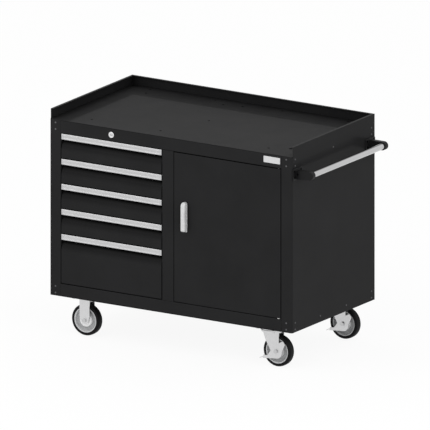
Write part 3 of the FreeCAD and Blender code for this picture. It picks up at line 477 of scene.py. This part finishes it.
def moulded(name, colour, roughness, texture=0.06 * MM, scale=1100.0, edge_amount=0.5, dusty=0.22, gloss=0.3):
    """Moulded plastic or rubber: an even fine texture, lighter edges that are wear with a painted highlight,
    and a little dust.
    """
    t, shader, material = blank_material(name)
    grain = use(t, "grain", Scale=scale, Patch=9.0)
    edge = use(t, "edge", Radius=0.0009, Amount=edge_amount, Breakup=50.0)
    dust = use(t, "dust", Amount=dusty, Scale=25.0)
    patches = t.spread(grain.outputs["Variation"], 0.3, 0.7, 0.0, 1.0)
    varied = t.mix(patches, rgba(colour, 0.85), rgba(colour, 1.15))
    # Lighter edges: wear and a painted highlight.
    wear_and_painted_light = t.mix(edge.outputs["Mask"], varied, rgba(colour, 1.5))
    t.link(t.mix(dust.outputs["Mask"], wear_and_painted_light, PLASTIC_DUST), shader.inputs["Base Color"])
    t.link(t.spread(grain.outputs["Height"], 0.25, 0.75, roughness * 0.88, min(1.0, roughness * 1.12)),
           shader.inputs["Roughness"])
    shader.inputs["Specular IOR Level"].default_value = gloss
    set_relief(t, shader, grain, edge, 0.5, texture)
    return material


MADE = {}


def finish_of(slot):
    """The material of one of the record's slots, built on first use."""
    if slot not in MADE:
        MADE[slot] = FINISHES[slot]()
    return MADE[slot]


def paint_of(name, tone, coat_roughness=0.16, shine=1.0, **more):
    """Black powder coat in the cabinet's colour."""
    colours = bpy.context.scene.cabinet_finish
    paint = [channel * tone for channel in colours.paint]
    return powder_coat(name, paint, colours.sheen * shine, coat_roughness, **more)


def metal_of(name, tone, roughness, stretch, **more):
    """Bare or plated metal in the cabinet's metal colour."""
    colour = bpy.context.scene.cabinet_finish.metal
    return brushed_metal(name, [channel * tone for channel in colour], roughness, stretch, **more)


FINISHES = {
    "body_paint": lambda: paint_of("Body powder coat", 1.0, depth=0.25),
    # The body's paint at a darker tone: painted shade on the up-facing top.
    "worktop_paint": lambda: paint_of("Worktop powder coat, painted darker", 0.88, 0.06, 0.6),
    "shelf_paint": lambda: paint_of("Shelf powder coat", 1.0, 0.22),
    # Tilt paints shade on the drawer fronts' slope under the handles.
    "drawer_paint": lambda: paint_of("Drawer powder coat", 1.0, 0.18, tilt=0.62),
    "door_paint": lambda: paint_of("Door powder coat", 1.0, 0.15),
    "handle_aluminium": lambda: metal_of("Drawn aluminium", 0.93, 0.34, (0.02, 1.0, 1.0), contrast=0.06),
    "runner_zinc": lambda: metal_of("Rolled zinc steel", 0.85, 0.3, (1.0, 0.03, 1.0), contrast=0.12),
    "bracket_black": lambda: moulded("Black bracket moulding", [0.006, 0.006, 0.0065], 0.5, edge_amount=0.25,
                                     dusty=0.02, gloss=0.17),
    # crown paints a dark reflection along the top of the bar.
    "bar_steel": lambda: metal_of("Satin bar steel", 0.84, 0.12, (1.0, 0.03, 1.0), contrast=0.05, dusty=0.0,
                                  crown=0.28),
    "plate_aluminium": lambda: metal_of("Bright anodised plate", 1.16, 0.4, (0.02, 1.0, 1.0), contrast=0.05,
                                        edge_amount=0.8),
    "lock_chrome": lambda: metal_of("Lock chrome", 1.3, 0.12, (1.0, 1.0, 1.0), contrast=0.03, scale=400.0),
    "plug_steel": lambda: metal_of("Lock plug steel", 1.05, 0.25, (1.0, 1.0, 0.05), contrast=0.1),
    "latch_zinc": lambda: metal_of("Latch zinc", 0.8, 0.35, (0.05, 1.0, 1.0), contrast=0.12),
    "hinge_zinc": lambda: metal_of("Oiled hinge pin", 0.25, 0.35, (1.0, 1.0, 0.1), contrast=0.1),
    "hinge_collar": lambda: moulded("White nylon collar", [0.9, 0.9, 0.88], 0.45, dusty=0.02),
    "lever_silver": lambda: metal_of("Silver lever enamel", 1.05, 0.5, (1.0, 1.0, 0.3), contrast=0.03,
                                     metallic=0.0, scale=600.0),
    # The rivets are the black paint lightened many times over: a painted highlight.
    "rivet_black": lambda: paint_of("Rivet paint with painted highlight", 6.5, 0.25),
    "screw_black": lambda: moulded("Black screw head", [0.003, 0.003, 0.0032], 0.5, edge_amount=0.2,
                                   dusty=0.0, gloss=0.0),
    "caster_zinc": lambda: metal_of("Caster zinc plate", 1.05, 0.32, (1.0, 1.0, 0.2), contrast=0.07),
    "pedal_zinc": lambda: metal_of("Brake lever zinc plate", 1.05, 0.36, (0.2, 1.0, 1.0), contrast=0.08),
    "bolt_zinc": lambda: metal_of("Bolt zinc", 0.9, 0.28, (1.0, 1.0, 1.0), contrast=0.1),
    "rim_grey": lambda: moulded("Grey wheel core", [0.44, 0.445, 0.45], 0.42, edge_amount=0.3, dusty=0.06),
    # The same grey moulding as the core, paler: a painted highlight on the band.
    "rim_band": lambda: moulded("Wheel band with painted highlight", [0.62, 0.625, 0.63], 0.42, edge_amount=0.3, dusty=0.06),
    "rim_disc": lambda: moulded("White hub disc", [0.84, 0.84, 0.84], 0.38, edge_amount=0.2, dusty=0.03),
    "tyre_black": lambda: moulded("Black tyre rubber", [0.005, 0.005, 0.0053], 0.62, texture=0.12 * MM,
                                  scale=800.0, dusty=0.02, gloss=0.12),
}


# What a user would change

class CabinetFinish(bpy.types.PropertyGroup):
    """Colours and sheen of the cabinet's main finishes."""

    paint: bpy.props.FloatVectorProperty(
        name="Paint", description="Linear colour of the powder coat", subtype="COLOR", min=0.0, max=1.0,
        default=(0.0163, 0.0163, 0.0168))
    sheen: bpy.props.FloatProperty(
        name="Sheen", description="How much of the clear sheen lies on the paint", subtype="FACTOR",
        min=0.0, max=1.0, default=0.09)
    metal: bpy.props.FloatVectorProperty(
        name="Metal", description="Linear colour of the handles and the plated steel", subtype="COLOR",
        min=0.0, max=1.0, default=(0.62, 0.62, 0.625))


class CabinetWheels(bpy.types.PropertyGroup):
    """Shape of the casters' wheels."""

    tyre_radius: bpy.props.FloatProperty(
        name="Tyre radius", description="Outer radius of the tyre", default=62.5 * MM, min=10 * MM,
        unit="LENGTH")
    tyre_width: bpy.props.FloatProperty(
        name="Tyre width", description="Width of the tyre", default=32.0 * MM, min=5 * MM, unit="LENGTH")
    rings: bpy.props.IntProperty(
        name="Rings", description="Moulded rings on each face of the wheel's core", default=4, min=0, max=8)


class CabinetHandles(bpy.types.PropertyGroup):
    """Shape of the drawers' handles."""

    groove: bpy.props.FloatProperty(
        name="Groove", description="Depth of the label groove", default=0.7 * MM, min=0.0, max=1.5 * MM,
        unit="LENGTH")
    bead: bpy.props.FloatProperty(
        name="Bead", description="Height of the bead along the handle's foot", default=3.0 * MM,
        min=1 * MM, max=6 * MM, unit="LENGTH")
    cap: bpy.props.FloatProperty(
        name="End cap", description="Width of each end cap", default=7.0 * MM, min=2 * MM, max=30 * MM,
        unit="LENGTH")


class CabinetBar(bpy.types.PropertyGroup):
    """Shape of the push bar's brackets."""

    fillet: bpy.props.FloatProperty(
        name="Fillet", description="Radius between a bracket's arm and its flange", default=2.5 * MM,
        min=1 * MM, unit="LENGTH")
    edge: bpy.props.FloatProperty(
        name="Edge", description="Rounding of a bracket's edges", default=1.6 * MM, min=0.5 * MM,
        unit="LENGTH")


class CabinetStudio(bpy.types.PropertyGroup):
    """The camera and the light."""

    azimuth: bpy.props.FloatProperty(
        name="Azimuth", description="Camera's turn round the cabinet from the front", subtype="ANGLE",
        default=math.radians(32.0))
    elevation: bpy.props.FloatProperty(
        name="Elevation", description="Camera's height above the horizon", subtype="ANGLE",
        default=math.radians(15.0))
    width: bpy.props.FloatProperty(
        name="View width", description="Width of what the camera sees", default=1.6551, min=0.1,
        unit="LENGTH")
    sky: bpy.props.FloatProperty(
        name="Sky", description="Strength of the even light from all round", default=0.86, min=0.0)
    key: bpy.props.FloatProperty(
        name="Key", description="Power of the large lamp at the front left, in watts", default=26.0, min=0.0)


# Operators

class CABINET_OT_finish_frame(bpy.types.Operator):
    """Give every CAD node the finish of its slot in the record"""

    bl_idname = "cabinet.finish_frame"
    bl_label = "Finish the sheet metal"

    def execute(self, context):
        for entry in frame["record"]["subparts"]:
            node = NODES[entry["node"]]
            material = finish_of(entry["material_slot"])
            if not node.material_slots:
                node.data.materials.append(material)
            for place in node.material_slots:
                place.material = material
        return {"FINISHED"}


class CABINET_OT_wheels(bpy.types.Operator):
    """Make each caster's tyre and core as turned surfaces with their moulded rings"""

    bl_idname = "cabinet.wheels"
    bl_label = "Turn the wheels"

    def execute(self, context):
        shape = context.scene.cabinet_wheels
        radius, half = shape.tyre_radius / MM, shape.tyre_width / MM / 2
        for end in ENDS:
            for side in SIDES:
                name = end + "_" + side
                centre = middle("tyre_" + name)
                body = "wheel_" + name
                tread = tyre_profile(radius, half)
                tyre = wheel_ring("tread_" + name, tread, centre, "tyre_black")
                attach(tyre, body)
                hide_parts("tyre_" + name)
                core = wheel_ring("core_" + name, core_profile(shape.rings), centre, "rim_grey")
                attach(core, body)
                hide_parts("rim_" + name)
                band = wheel_ring("band_" + name, BAND_PROFILE, centre, "rim_band")
                disc = wheel_ring("hub_" + name, HUB_PROFILE, centre, "rim_disc", segments=120)
                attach(band, body)
                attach(disc, body)
        return {"FINISHED"}


def wheel_ring(name, profile, centre, finish, segments=160):
    """One turned ring of a wheel, with its finish."""
    ring = revolved(profile, centre, segments=segments)
    return new_piece(name, [ring], finish_of(finish), crease=25.0)


class CABINET_OT_handles(bpy.types.Operator):
    """Draw each drawer's aluminium handle with its label groove and bead, and mould its two end caps"""

    bl_idname = "cabinet.handles"
    bl_label = "Draw the drawer handles"

    def execute(self, context):
        shape = context.scene.cabinet_handles
        metal = finish_of("handle_aluminium")
        for number in DRAWERS:
            node = "drawer_%d_handle" % number
            low, high = (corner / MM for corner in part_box(node))
            section = handle_section(low, high, shape.groove / MM, shape.bead / MM)
            cap = shape.cap / MM
            profile = new_piece("handle_profile_%d" % number, [drawn(section, low.x + cap, high.x - cap)],
                                metal, crease=40.0)
            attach(profile, "drawer_%d" % number)
            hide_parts(node)
            end = rounded_outline([(low.y, low.z), (high.y, low.z), (high.y, high.z), (low.y, high.z)],
                                  CAP_RADII, steps=6)
            sides = [pressed(end, left, left + cap, "yz", edge=CAP_EDGE) for left in (low.x, high.x - cap)]
            caps = new_piece("handle_caps_%d" % number, sides, metal, crease=40.0)
            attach(caps, "drawer_%d" % number)
        return {"FINISHED"}


CAP_RADII = [1.6, 0.8, 0.8, 2.6]
CAP_EDGE = 0.7
HANDLE_WALL = 2.5
HANDLE_LIP = 3.5


def handle_section(low, high, groove, bead):
    """The handle's closed section: a hook with round shoulders, a label groove and a bead at its foot.

    The corners, each (y, z, radius) in millimetres, are joined by straight lines and rounded by arcs.
    """
    front, rear, foot, head = low.y, high.y, low.z, high.z
    wall, lip = HANDLE_WALL, front + HANDLE_LIP
    corners = [
        (rear, foot + 1.0, 0.3), (rear, head, 2.4), (front, head, 2.4), (front, head - 4.4, 0.2),
        (front + 0.3, head - 4.6, 0.1), (front + 0.3, head - 5.4, 0.1), (front, head - 5.6, 0.2),
        (front, head - 6.4, 0.2), (front + groove, head - 6.8, 0.2), (front + groove, foot + 6.6, 0.2),
        (front, foot + 6.2, 0.2), (front, foot + 5.0, 0.2), (front + 0.5, foot + 4.5, 0.2),
        (front, foot + 3.8, 0.4), (front, foot, 1.3), (lip, foot, 1.2), (lip, foot + bead, 0.4),
        (front + wall, foot + bead, 0.2), (front + wall, head - wall, 1.0), (rear - wall, head - wall, 1.0),
        (rear - wall, foot + 1.0, 0.3),
    ]
    return rounded_outline([corner[:2] for corner in corners], [corner[2] for corner in corners], steps=5)


def drawn(section, left, right):
    """A closed (y, z) section in millimetres carried along X: point (i, j) is (x_i, section_j)."""
    end_strip = 0.2
    x = np.array([left, left + end_strip, right - end_strip, right])[:, None] + 0 * section[None, :, 0]
    y, z = section[None, :, 0] + 0 * x, section[None, :, 1] + 0 * x
    return skin(np.stack([x, y, z], axis=-1) * MM, wrap_v=True, caps=True)


def tyre_profile(radius, half):
    """The closed section of a tyre: bead, side wall with a moulded step, round shoulder, crowned tread.

    The shoulder is a quarter circle; the tread rises by a cosine as high as the crown to its middle.
    """
    shoulder, crown = 7.0, 0.5
    rim = radius - crown
    turn = np.linspace(0, np.pi / 2, 9)
    side = [(50.0, -half + 1.4), (50.6, -half + 0.6), (51.8, -half + 0.2), (53.4, -half + 0.2), (53.8, -half)]
    arc = np.stack([rim - shoulder + shoulder * np.sin(turn), -half + shoulder * (1 - np.cos(turn))], axis=-1)
    across = np.linspace(-half + shoulder, half - shoulder, 9)[1:-1]
    tread = np.stack([rim + crown * np.cos(across / (half - shoulder) * np.pi / 2), across], axis=-1)
    first = side + [tuple(point) for point in arc]
    return first + [tuple(point) for point in tread] + flipped(first[::-1], -1)


# The band that the tyre sits on, its lips rounded; its paler tone than the core is a painted highlight
BAND_PROFILE = mirrored_ring([(45.05, 6.0), (45.2, 11.6), (45.8, 13.2), (46.8, 14.0), (49.4, 14.0),
                              (50.0, 13.5)])
# The bright hub: bore, hub boss and the disc round it
HUB_PROFILE = mirrored_ring([(6.05, 17.0), (12.2, 17.2), (13.0, 16.4), (13.0, 12.8), (14.0, 12.4),
                             (24.6, 12.4), (26.2, 11.9), (27.0, 10.6), (27.0, 2.0)])
RINGS_START, RINGS_END = 29.5, 41.5
RING_HEIGHT = 1.1
WEB_HALF = 3.5


def core_profile(rings):
    """The closed section of a wheel's core between hub and band: a dished web with rings.

    Each ring is a raised cosine on the web between the disc and the band.
    """
    radius = np.linspace(RINGS_START, RINGS_END, 12 * max(rings, 1) + 1)
    phase = (radius - RINGS_START) / (RINGS_END - RINGS_START) * 2 * np.pi * rings
    web = np.stack([radius, WEB_HALF + RING_HEIGHT / 2 * (1 - np.cos(phase))], axis=-1)
    upper = [(27.02, 5.0), (28.0, 3.7)] + [tuple(point) for point in web]
    return mirrored_ring(upper + [(43.5, 4.2), (45.02, 6.5)])


class CABINET_OT_lever(bpy.types.Operator):
    """Shape the door's turning lever and its spindle"""

    bl_idname = "cabinet.lever"
    bl_label = "Shape the door lever"

    def execute(self, context):
        low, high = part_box("handle_lever")
        metal = finish_of("lever_silver")
        lever = new_piece("turning_lever", [lever_body(low, high)], metal, crease=50.0)
        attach(lever, "door_handle")
        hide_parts("handle_lever")
        axis = np.array([(low.x + high.x) / 2, 0.0, high.z - LEVER_HEAD * MM])
        start, back = low.y / MM + SPINDLE_START, high.y / MM
        rod = [(5.2, start), (6.0, start + 1.0), (6.0, back - 0.8), (5.2, back)]
        spindle = new_piece("lever_spindle", [capped(rod, axis)], finish_of("latch_zinc"))
        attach(spindle, "door_handle")
        return {"FINISHED"}


LEVER_HEAD = 17.0
LEVER_HALF = 10.0
LEVER_DEPTH = 16.2
LEVER_LEAN, LEVER_CURL = 9.0, 5.0
SCOOP_DEPTH, SCOOP_START, SCOOP_LENGTH = 1.6, 0.34, 0.42
SPINDLE_START = 14.0


def lever_body(low, high):
    """The lever: at height z a rounded box of half width w(z) and depth d(z).

    w follows the round top and the small lower corners and is scooped on the right by a raised
    cosine; d slopes back over the top and curls in at the foot. Round the section, x = w * c and
    y = d * s with c and s the signed powers 0.5 of cosine and sine, a superellipse of degree 4.
    """
    top, foot = high.z / MM, low.z / MM
    mid_x = (low.x + high.x) / 2 / MM
    back = low.y / MM + LEVER_DEPTH
    length = top - foot
    share = (1 - np.cos(np.linspace(0, np.pi, 64))) / 2
    tip = 0.02
    z = foot + tip + (length - 2 * tip) * share
    crown, toe, curl_height = 9.5, 4.0, 6.0
    near_top = np.clip((z - (top - crown)) / crown, 0, 1)
    near_foot = np.clip(((foot + toe) - z) / toe, 0, 1)
    width = LEVER_HALF - crown * (1 - np.sqrt(1 - near_top ** 2)) - toe * (1 - np.sqrt(1 - near_foot ** 2))
    slope = np.clip((z - (top - LEVER_HEAD)) / LEVER_HEAD, 0, 1)
    curl = np.clip(((foot + curl_height) - z) / curl_height, 0, 1)
    depth = LEVER_DEPTH - LEVER_LEAN * slope ** 1.8 - LEVER_CURL * (1 - np.sqrt(1 - curl ** 2))
    turn = np.linspace(0, 2 * np.pi, 64, endpoint=False)[None, :]
    across = np.sign(np.cos(turn)) * np.abs(np.cos(turn)) ** 0.5
    along = np.sign(np.sin(turn)) * np.abs(np.sin(turn)) ** 0.5
    grip = np.clip((z - (foot + SCOOP_START * length)) / (SCOOP_LENGTH * length), 0, 1)
    scoop = (SCOOP_DEPTH / 2 * (1 - np.cos(2 * np.pi * grip)))[:, None] * (across > 0.6) * (along < 0.99)
    x = mid_x + width[:, None] * across - scoop
    y = back - depth[:, None] * (1 - along) / 2 + 0 * across
    points = np.stack([x, y, z[:, None] + 0 * x], axis=-1) * MM
    return skin(points, wrap_v=True, caps=True)


class CABINET_OT_push_bar(bpy.types.Operator):
    """Mould the push bar's two brackets with their flanges and screws, and the tube between them"""

    bl_idname = "cabinet.push_bar"
    bl_label = "Mould the push bar"

    def execute(self, context):
        shape = context.scene.cabinet_bar
        low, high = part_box("push_bar_brackets")
        tube_low, tube_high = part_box("push_bar")
        bar_x, bar_z = (tube_low.x + tube_high.x) / 2 / MM, (tube_low.z + tube_high.z) / 2 / MM
        panel, end_radius = low.x / MM, high.x / MM - bar_x
        ends = ((1, low.y / MM), (-1, high.y / MM))
        parts = []
        for sign, edge in ends:
            centre_y = edge + sign * FLANGE_HALF_WIDTH
            parts += bracket(panel, bar_x, bar_z, end_radius, centre_y, shape.edge / MM, shape.fillet / MM)
        brackets = new_piece("bar_brackets", parts, finish_of("bracket_black"), crease=40.0)
        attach(brackets, "cabinet")
        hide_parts("push_bar_brackets")
        screws = []
        for sign, edge in ends:
            for across in (-SCREW_SPREAD, SCREW_SPREAD):
                for rise in (-SCREW_RISE, SCREW_RISE):
                    away = FLANGE_HALF_WIDTH + across
                    place = [panel + SCREW_SEAT, edge + sign * away, bar_z + SCREW_LIFT + rise]
                    screws.append(capped(SCREW_HEAD, np.array(place) * MM, axis="x", segments=24))
        for sign, edge in ends:
            place = [panel + GRUB_REACH, edge + sign * (FLANGE_HALF_WIDTH - ARM_HALF), bar_z]
            screws.append(capped(flipped(GRUB_SCREW, -sign), np.array(place) * MM, axis="y", segments=24))
        heads = new_piece("bracket_screws", screws, finish_of("screw_black"))
        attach(heads, "cabinet")
        radius = (tube_high.x - tube_low.x) / 2 / MM
        start, end = tube_low.y / MM, tube_high.y / MM
        axis = np.array([bar_x * MM, 0.0, bar_z * MM])
        wall, bevel = 2.0, 0.4
        section = [(radius - wall, start), (radius - bevel, start), (radius, start + bevel)]
        section += [(radius, y) for y in np.linspace(start, end, 9)[1:-1]]
        section += [(radius, end - bevel), (radius - bevel, end), (radius - wall, end)]
        ring = revolved(section, axis, segments=72)
        tube = new_piece("bar_tube", [ring], finish_of("bar_steel"))
        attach(tube, "cabinet")
        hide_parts("push_bar")
        return {"FINISHED"}


# Millimetres: the bracket's flange and arm, and where its screws stand
FLANGE_HALF_WIDTH, FLANGE_HALF_HEIGHT, FLANGE_THICKNESS = 34.5, 23.0, 4.2
FLANGE_CORNER, FLANGE_EDGE = 7.0, 1.6
ARM_HALF, ARM_ROOT, ARM_TAPER = 11.0, 3.0, 4.0
SCREW_SPREAD, SCREW_RISE = 23.5, 12.0
SCREW_SEAT, SCREW_LIFT = 4.0, 1.5
GRUB_REACH = 10.0
SCREW_HEAD = [(0.6, 1.0), (1.6, 1.0), (1.9, 2.0), (3.4, 1.8), (4.4, 1.0), (4.6, 0.0), (4.6, -1.5),
              (0.6, -1.5)]
GRUB_SCREW = [(0.4, 0.0), (2.0, 0.0), (2.3, 0.5), (3.2, 0.6), (3.9, 0.5), (4.0, 0.1), (4.0, -2.0),
              (0.4, -2.0)]


def bracket(panel, bar_x, bar_z, end_radius, centre_y, edge, fillet):
    """One bracket: an arm that widens a little from the bar's round end to its flange.

    The arm's outline in X and Z is a level line above, a sloping line below, two small fillets at
    the flange and a half circle about the bar; it is swept along Y with rounded edges, the flange along X.
    """
    turn = np.linspace(-np.pi / 2, np.pi / 2, 25)
    end = np.stack([bar_x + end_radius * np.cos(turn), bar_z + end_radius * np.sin(turn)], axis=-1)
    root = panel + ARM_ROOT
    arc = np.linspace(0, np.pi / 2, 6)
    rise = fillet * (1 - np.cos(arc))
    upper = np.stack([root + fillet * (1 - np.sin(arc)), bar_z + end_radius + rise], axis=-1)
    lower = np.stack([upper[::-1, 0], 2 * bar_z - ARM_TAPER - upper[::-1, 1]], axis=-1)
    outline = np.vstack([end, upper, lower])
    arm = pressed(outline, centre_y - ARM_HALF, centre_y + ARM_HALF, "xz", edge=edge)
    corners = [(centre_y + across * FLANGE_HALF_WIDTH, bar_z + up * FLANGE_HALF_HEIGHT)
               for across, up in ((-1, -1), (1, -1), (1, 1), (-1, 1))]
    flange_outline = rounded_outline(corners, [FLANGE_CORNER] * 4)
    flange = pressed(flange_outline, panel, panel + FLANGE_THICKNESS, "yz", edge=FLANGE_EDGE)
    return [arm, flange]


class CABINET_OT_lock(bpy.types.Operator):
    """Turn the drawer lock's chromed ring"""

    bl_idname = "cabinet.lock"
    bl_label = "Turn the lock"

    def execute(self, context):
        low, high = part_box("lock_housing")
        centre = np.array([(low.x + high.x) / 2, 0.0, (low.z + high.z) / 2])
        face, back = low.y / MM, high.y / MM
        edge = (high.x - low.x) / 2 / MM
        bore, sleeve = 6.05, 9.0
        section = [(bore, face + 0.6), (7.2, face + 0.5), (7.8, face), (edge - 2.0, face + 0.1),
                   (edge - 0.8, face + 0.5), (edge - 0.2, face + 1.3), (edge, face + 2.5),
                   (sleeve, face + 2.5), (sleeve, back - 0.5), (sleeve - 0.5, back), (bore, back)]
        ring = new_piece("lock_ring", [revolved(section, centre, segments=96)], finish_of("lock_chrome"))
        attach(ring, "cabinet")
        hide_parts("lock_housing")
        return {"FINISHED"}


class CABINET_OT_hinge(bpy.types.Operator):
    """Turn the door's two hinge pins and the white collar that the door rests on"""

    bl_idname = "cabinet.hinge"
    bl_label = "Turn the hinge pins"

    def execute(self, context):
        low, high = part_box("hinge_pins")
        x, y = (low.x + high.x) / 2, (low.y + high.y) / 2
        pins = [capped(flipped(HINGE_PIN, sign), np.array([x, y, foot]), axis="z", segments=32)
                for foot, sign in ((low.z, 1), (high.z, -1))]
        rods = new_piece("hinge_rods", pins, finish_of("hinge_zinc"))
        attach(rods, "cabinet")
        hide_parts("hinge_pins")
        radius = (high.x - low.x) / 2 / MM
        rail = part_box("bottom_rail")[1].z
        bore = 3.05
        section = [(bore, 0.05), (bore, 2.3), (radius - 0.5, 2.35), (radius, 1.9), (radius, 0.4),
                   (radius - 0.3, 0.05)]
        ring = revolved(section, np.array([x, y, rail]), axis="z", segments=48)
        collar = new_piece("hinge_collar", [ring], finish_of("hinge_collar"))
        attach(collar, "cabinet")
        return {"FINISHED"}


HINGE_PIN = [(0.4, 0.0), (2.4, 0.0), (3.0, 0.6), (3.0, 16.4), (1.8, 17.4), (0.4, 17.5)]


class CABINET_OT_fixings(bpy.types.Operator):
    """Set the rivets in the posts and sides and the screws in the worktop"""

    bl_idname = "cabinet.fixings"
    bl_label = "Set the fixings"

    def execute(self, context):
        rivets = [capped(flipped(RIVET_DOME, side), place, axis=axis, segments=20)
                  for side, axis, place in rivet_places()]
        heads = new_piece("rivet_heads", rivets, finish_of("rivet_black"))
        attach(heads, "cabinet")
        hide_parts("panel_rivets")
        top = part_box("worktop")[1].z
        screws = [capped(WORKTOP_SCREW, np.array([place[0], place[1], top]), axis="z", segments=20)
                  for place in solid_centres("worktop_screws")]
        pan_heads = new_piece("worktop_screw_heads", screws, finish_of("screw_black"))
        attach(pan_heads, "cabinet")
        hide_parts("worktop_screws")
        return {"FINISHED"}


RIVET_DOME = [(0.35, 0.75), (0.9, 0.8), (1.2, 1.25), (2.0, 1.15), (2.9, 0.9), (3.5, 0.5), (3.8, 0.0),
              (1.6, -0.02), (1.6, -3.0), (0.35, -3.0)]
WORKTOP_SCREW = [(0.5, -0.9), (1.6, -0.9), (2.0, -0.08), (4.6, -0.06), (4.9, -0.15), (1.6, -1.5), (1.6, -5.0),
                 (0.5, -5.0)]


def solid_centres(node):
    """The centre of each loose solid of a CAD node's mesh."""
    solids = bmesh.new()
    solids.from_mesh(NODES[node].data)
    bmesh.ops.remove_doubles(solids, verts=solids.verts, dist=WELD)
    seen, centres = set(), []
    for start in solids.verts:
        if start.index in seen:
            continue
        seen.add(start.index)
        queue, found = [start], []
        while queue:
            vertex = queue.pop()
            found.append(tuple(vertex.co))
            for edge in vertex.link_edges:
                other = edge.other_vert(vertex)
                if other.index not in seen:
                    seen.add(other.index)
                    queue.append(other)
        found = np.array(found)
        centres.append((found.min(0) + found.max(0)) / 2)
    solids.free()
    return centres


FRONT_SHEET = 3 * MM


def rivet_places():
    """Each rivet's outward sign, axis and place on its sheet's face."""
    low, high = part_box("side_panel_left")[0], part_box("side_panel_right")[1]
    places = []
    for centre in solid_centres("panel_rivets"):
        if centre[1] < low.y + FRONT_SHEET:
            places.append((-1, "y", np.array([centre[0], low.y, centre[2]])))
        elif centre[0] < 0.5 * (low.x + high.x):
            places.append((-1, "x", np.array([low.x, centre[1], centre[2]])))
        else:
            places.append((1, "x", np.array([high.x, centre[1], centre[2]])))
    return places


class CABINET_OT_stage(bpy.types.Operator):
    """Lay the floor, light it and set the camera"""

    bl_idname = "cabinet.stage"
    bl_label = "Set the stage"

    def execute(self, context):
        studio = context.scene.cabinet_studio
        lay_floor()
        light_sky(studio.sky)
        hang_lamp("key_lamp", KEY_LAMP_PLACE, studio.key, KEY_LAMP_WIDTH)
        hang_lamp("side_lamp", SIDE_LAMP_PLACE, studio.key * SIDE_LAMP_SHARE, SIDE_LAMP_WIDTH)
        set_camera(studio)
        context.scene.view_settings.view_transform = "Standard"
        return {"FINISHED"}


FLOOR_REACH = 12.0
FLOOR_GLOW = 0.92
KEY_LAMP_PLACE, KEY_LAMP_WIDTH = (-1.6, -2.6, 2.9), 2.4
SIDE_LAMP_PLACE, SIDE_LAMP_WIDTH, SIDE_LAMP_SHARE = (2.8, -1.2, 1.8), 1.8, 0.45
LAMP_AIM = (0.0, 0.0, 0.45)
LOOK_AT = (-0.02565, 0.0088, 0.4838)
CAMERA_AWAY = 6.0


def lay_floor():
    """A large pale floor under the wheels."""
    across = np.linspace(-FLOOR_REACH, FLOOR_REACH, 5)
    x, y = np.meshgrid(across, across, indexing="ij")
    points, faces = skin(np.stack([x, y, 0 * x], axis=-1))
    mesh = bpy.data.meshes.new("floor")
    mesh.from_pydata(points.tolist(), [], [face[::-1] for face in faces])
    floor = placed("floor", mesh)
    t, shader, material = blank_material("Floor")
    shader.inputs["Base Color"].default_value = (0.97, 0.97, 0.97, 1.0)
    shader.inputs["Roughness"].default_value = 0.9
    shader.inputs["Specular IOR Level"].default_value = 0.0
    glow = t.add("ShaderNodeEmission", in_Strength=1.0, in_Color=WHITE)
    blend = t.add("ShaderNodeMixShader")
    t.link(t.math("MULTIPLY", t.straight_view(), FLOOR_GLOW), blend.inputs[0])
    t.link(shader.outputs[0], blend.inputs[1])
    t.link(glow.outputs[0], blend.inputs[2])
    t.link(blend.outputs[0], t.first("OUTPUT_MATERIAL").inputs["Surface"])
    mesh.materials.append(material)


def light_sky(strength):
    """Even light from all round: white to the eye and to gloss, a little less on matt faces."""
    world = bpy.data.worlds.new("Studio")
    bpy.context.scene.world = world
    world.use_nodes = True
    t = Tree(world.node_tree)
    shine = t.first("BACKGROUND")
    t.link(t.spread(t.straight_view(), 0.0, 1.0, strength, 1.0), shine.inputs["Strength"])
    shine.inputs["Color"].default_value = WHITE


def hang_lamp(name, place, power, size):
    """A square soft lamp that faces the cabinet's middle."""
    lamp = bpy.data.lights.new(name, "AREA")
    lamp.energy = power
    lamp.size = size
    holder = placed(name, lamp)
    holder.location = place
    holder.rotation_euler = (Vector(LAMP_AIM) - Vector(place)).to_track_quat("-Z", "Y").to_euler()


def set_camera(studio):
    """A parallel camera at the photograph's angle and frame."""
    camera = bpy.data.cameras.new("camera")
    camera.type = "ORTHO"
    camera.ortho_scale = studio.width
    camera.clip_end = CAMERA_AWAY * 10
    holder = placed("camera", camera)
    turn, rise = studio.azimuth, studio.elevation
    towards = Vector((math.sin(turn) * math.cos(rise), -math.cos(turn) * math.cos(rise), math.sin(rise)))
    holder.location = Vector(LOOK_AT) + towards * CAMERA_AWAY
    holder.rotation_euler = (-towards).to_track_quat("-Z", "Y").to_euler()
    bpy.context.scene.camera = holder


class VIEW3D_PT_cabinet(bpy.types.Panel):
    """The cabinet's settings and steps"""

    bl_idname = "VIEW3D_PT_cabinet"
    bl_label = "Rolling tool cabinet"
    bl_space_type = "VIEW_3D"
    bl_region_type = "UI"
    bl_category = "Cabinet"

    def draw(self, context):
        for name in SETTINGS:
            settings = getattr(context.scene, name)
            box = self.layout.box()
            for key in settings.__annotations__:
                box.prop(settings, key)
        for step in STEPS:
            self.layout.operator(step.bl_idname)


SETTINGS = {"cabinet_finish": CabinetFinish, "cabinet_handles": CabinetHandles,
            "cabinet_wheels": CabinetWheels, "cabinet_bar": CabinetBar, "cabinet_studio": CabinetStudio}
STEPS = (CABINET_OT_finish_frame, CABINET_OT_handles, CABINET_OT_wheels, CABINET_OT_lever,
         CABINET_OT_push_bar, CABINET_OT_lock, CABINET_OT_hinge, CABINET_OT_fixings, CABINET_OT_stage)


def register():
    """Make the settings, the steps and the panel known."""
    for name, kind in SETTINGS.items():
        bpy.utils.register_class(kind)
        setattr(bpy.types.Scene, name, bpy.props.PointerProperty(type=kind))
    for kind in STEPS + (VIEW3D_PT_cabinet,):
        bpy.utils.register_class(kind)


def unregister():
    """Take them back out."""
    for kind in (VIEW3D_PT_cabinet,) + STEPS[::-1]:
        bpy.utils.unregister_class(kind)
    for name, kind in SETTINGS.items():
        delattr(bpy.types.Scene, name)
        bpy.utils.unregister_class(kind)


def main():
    """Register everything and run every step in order."""
    register()
    for step in STEPS:
        section, name = step.bl_idname.split(".")
        getattr(getattr(bpy.ops, section), name)()


if __name__ == "__main__":
    main()
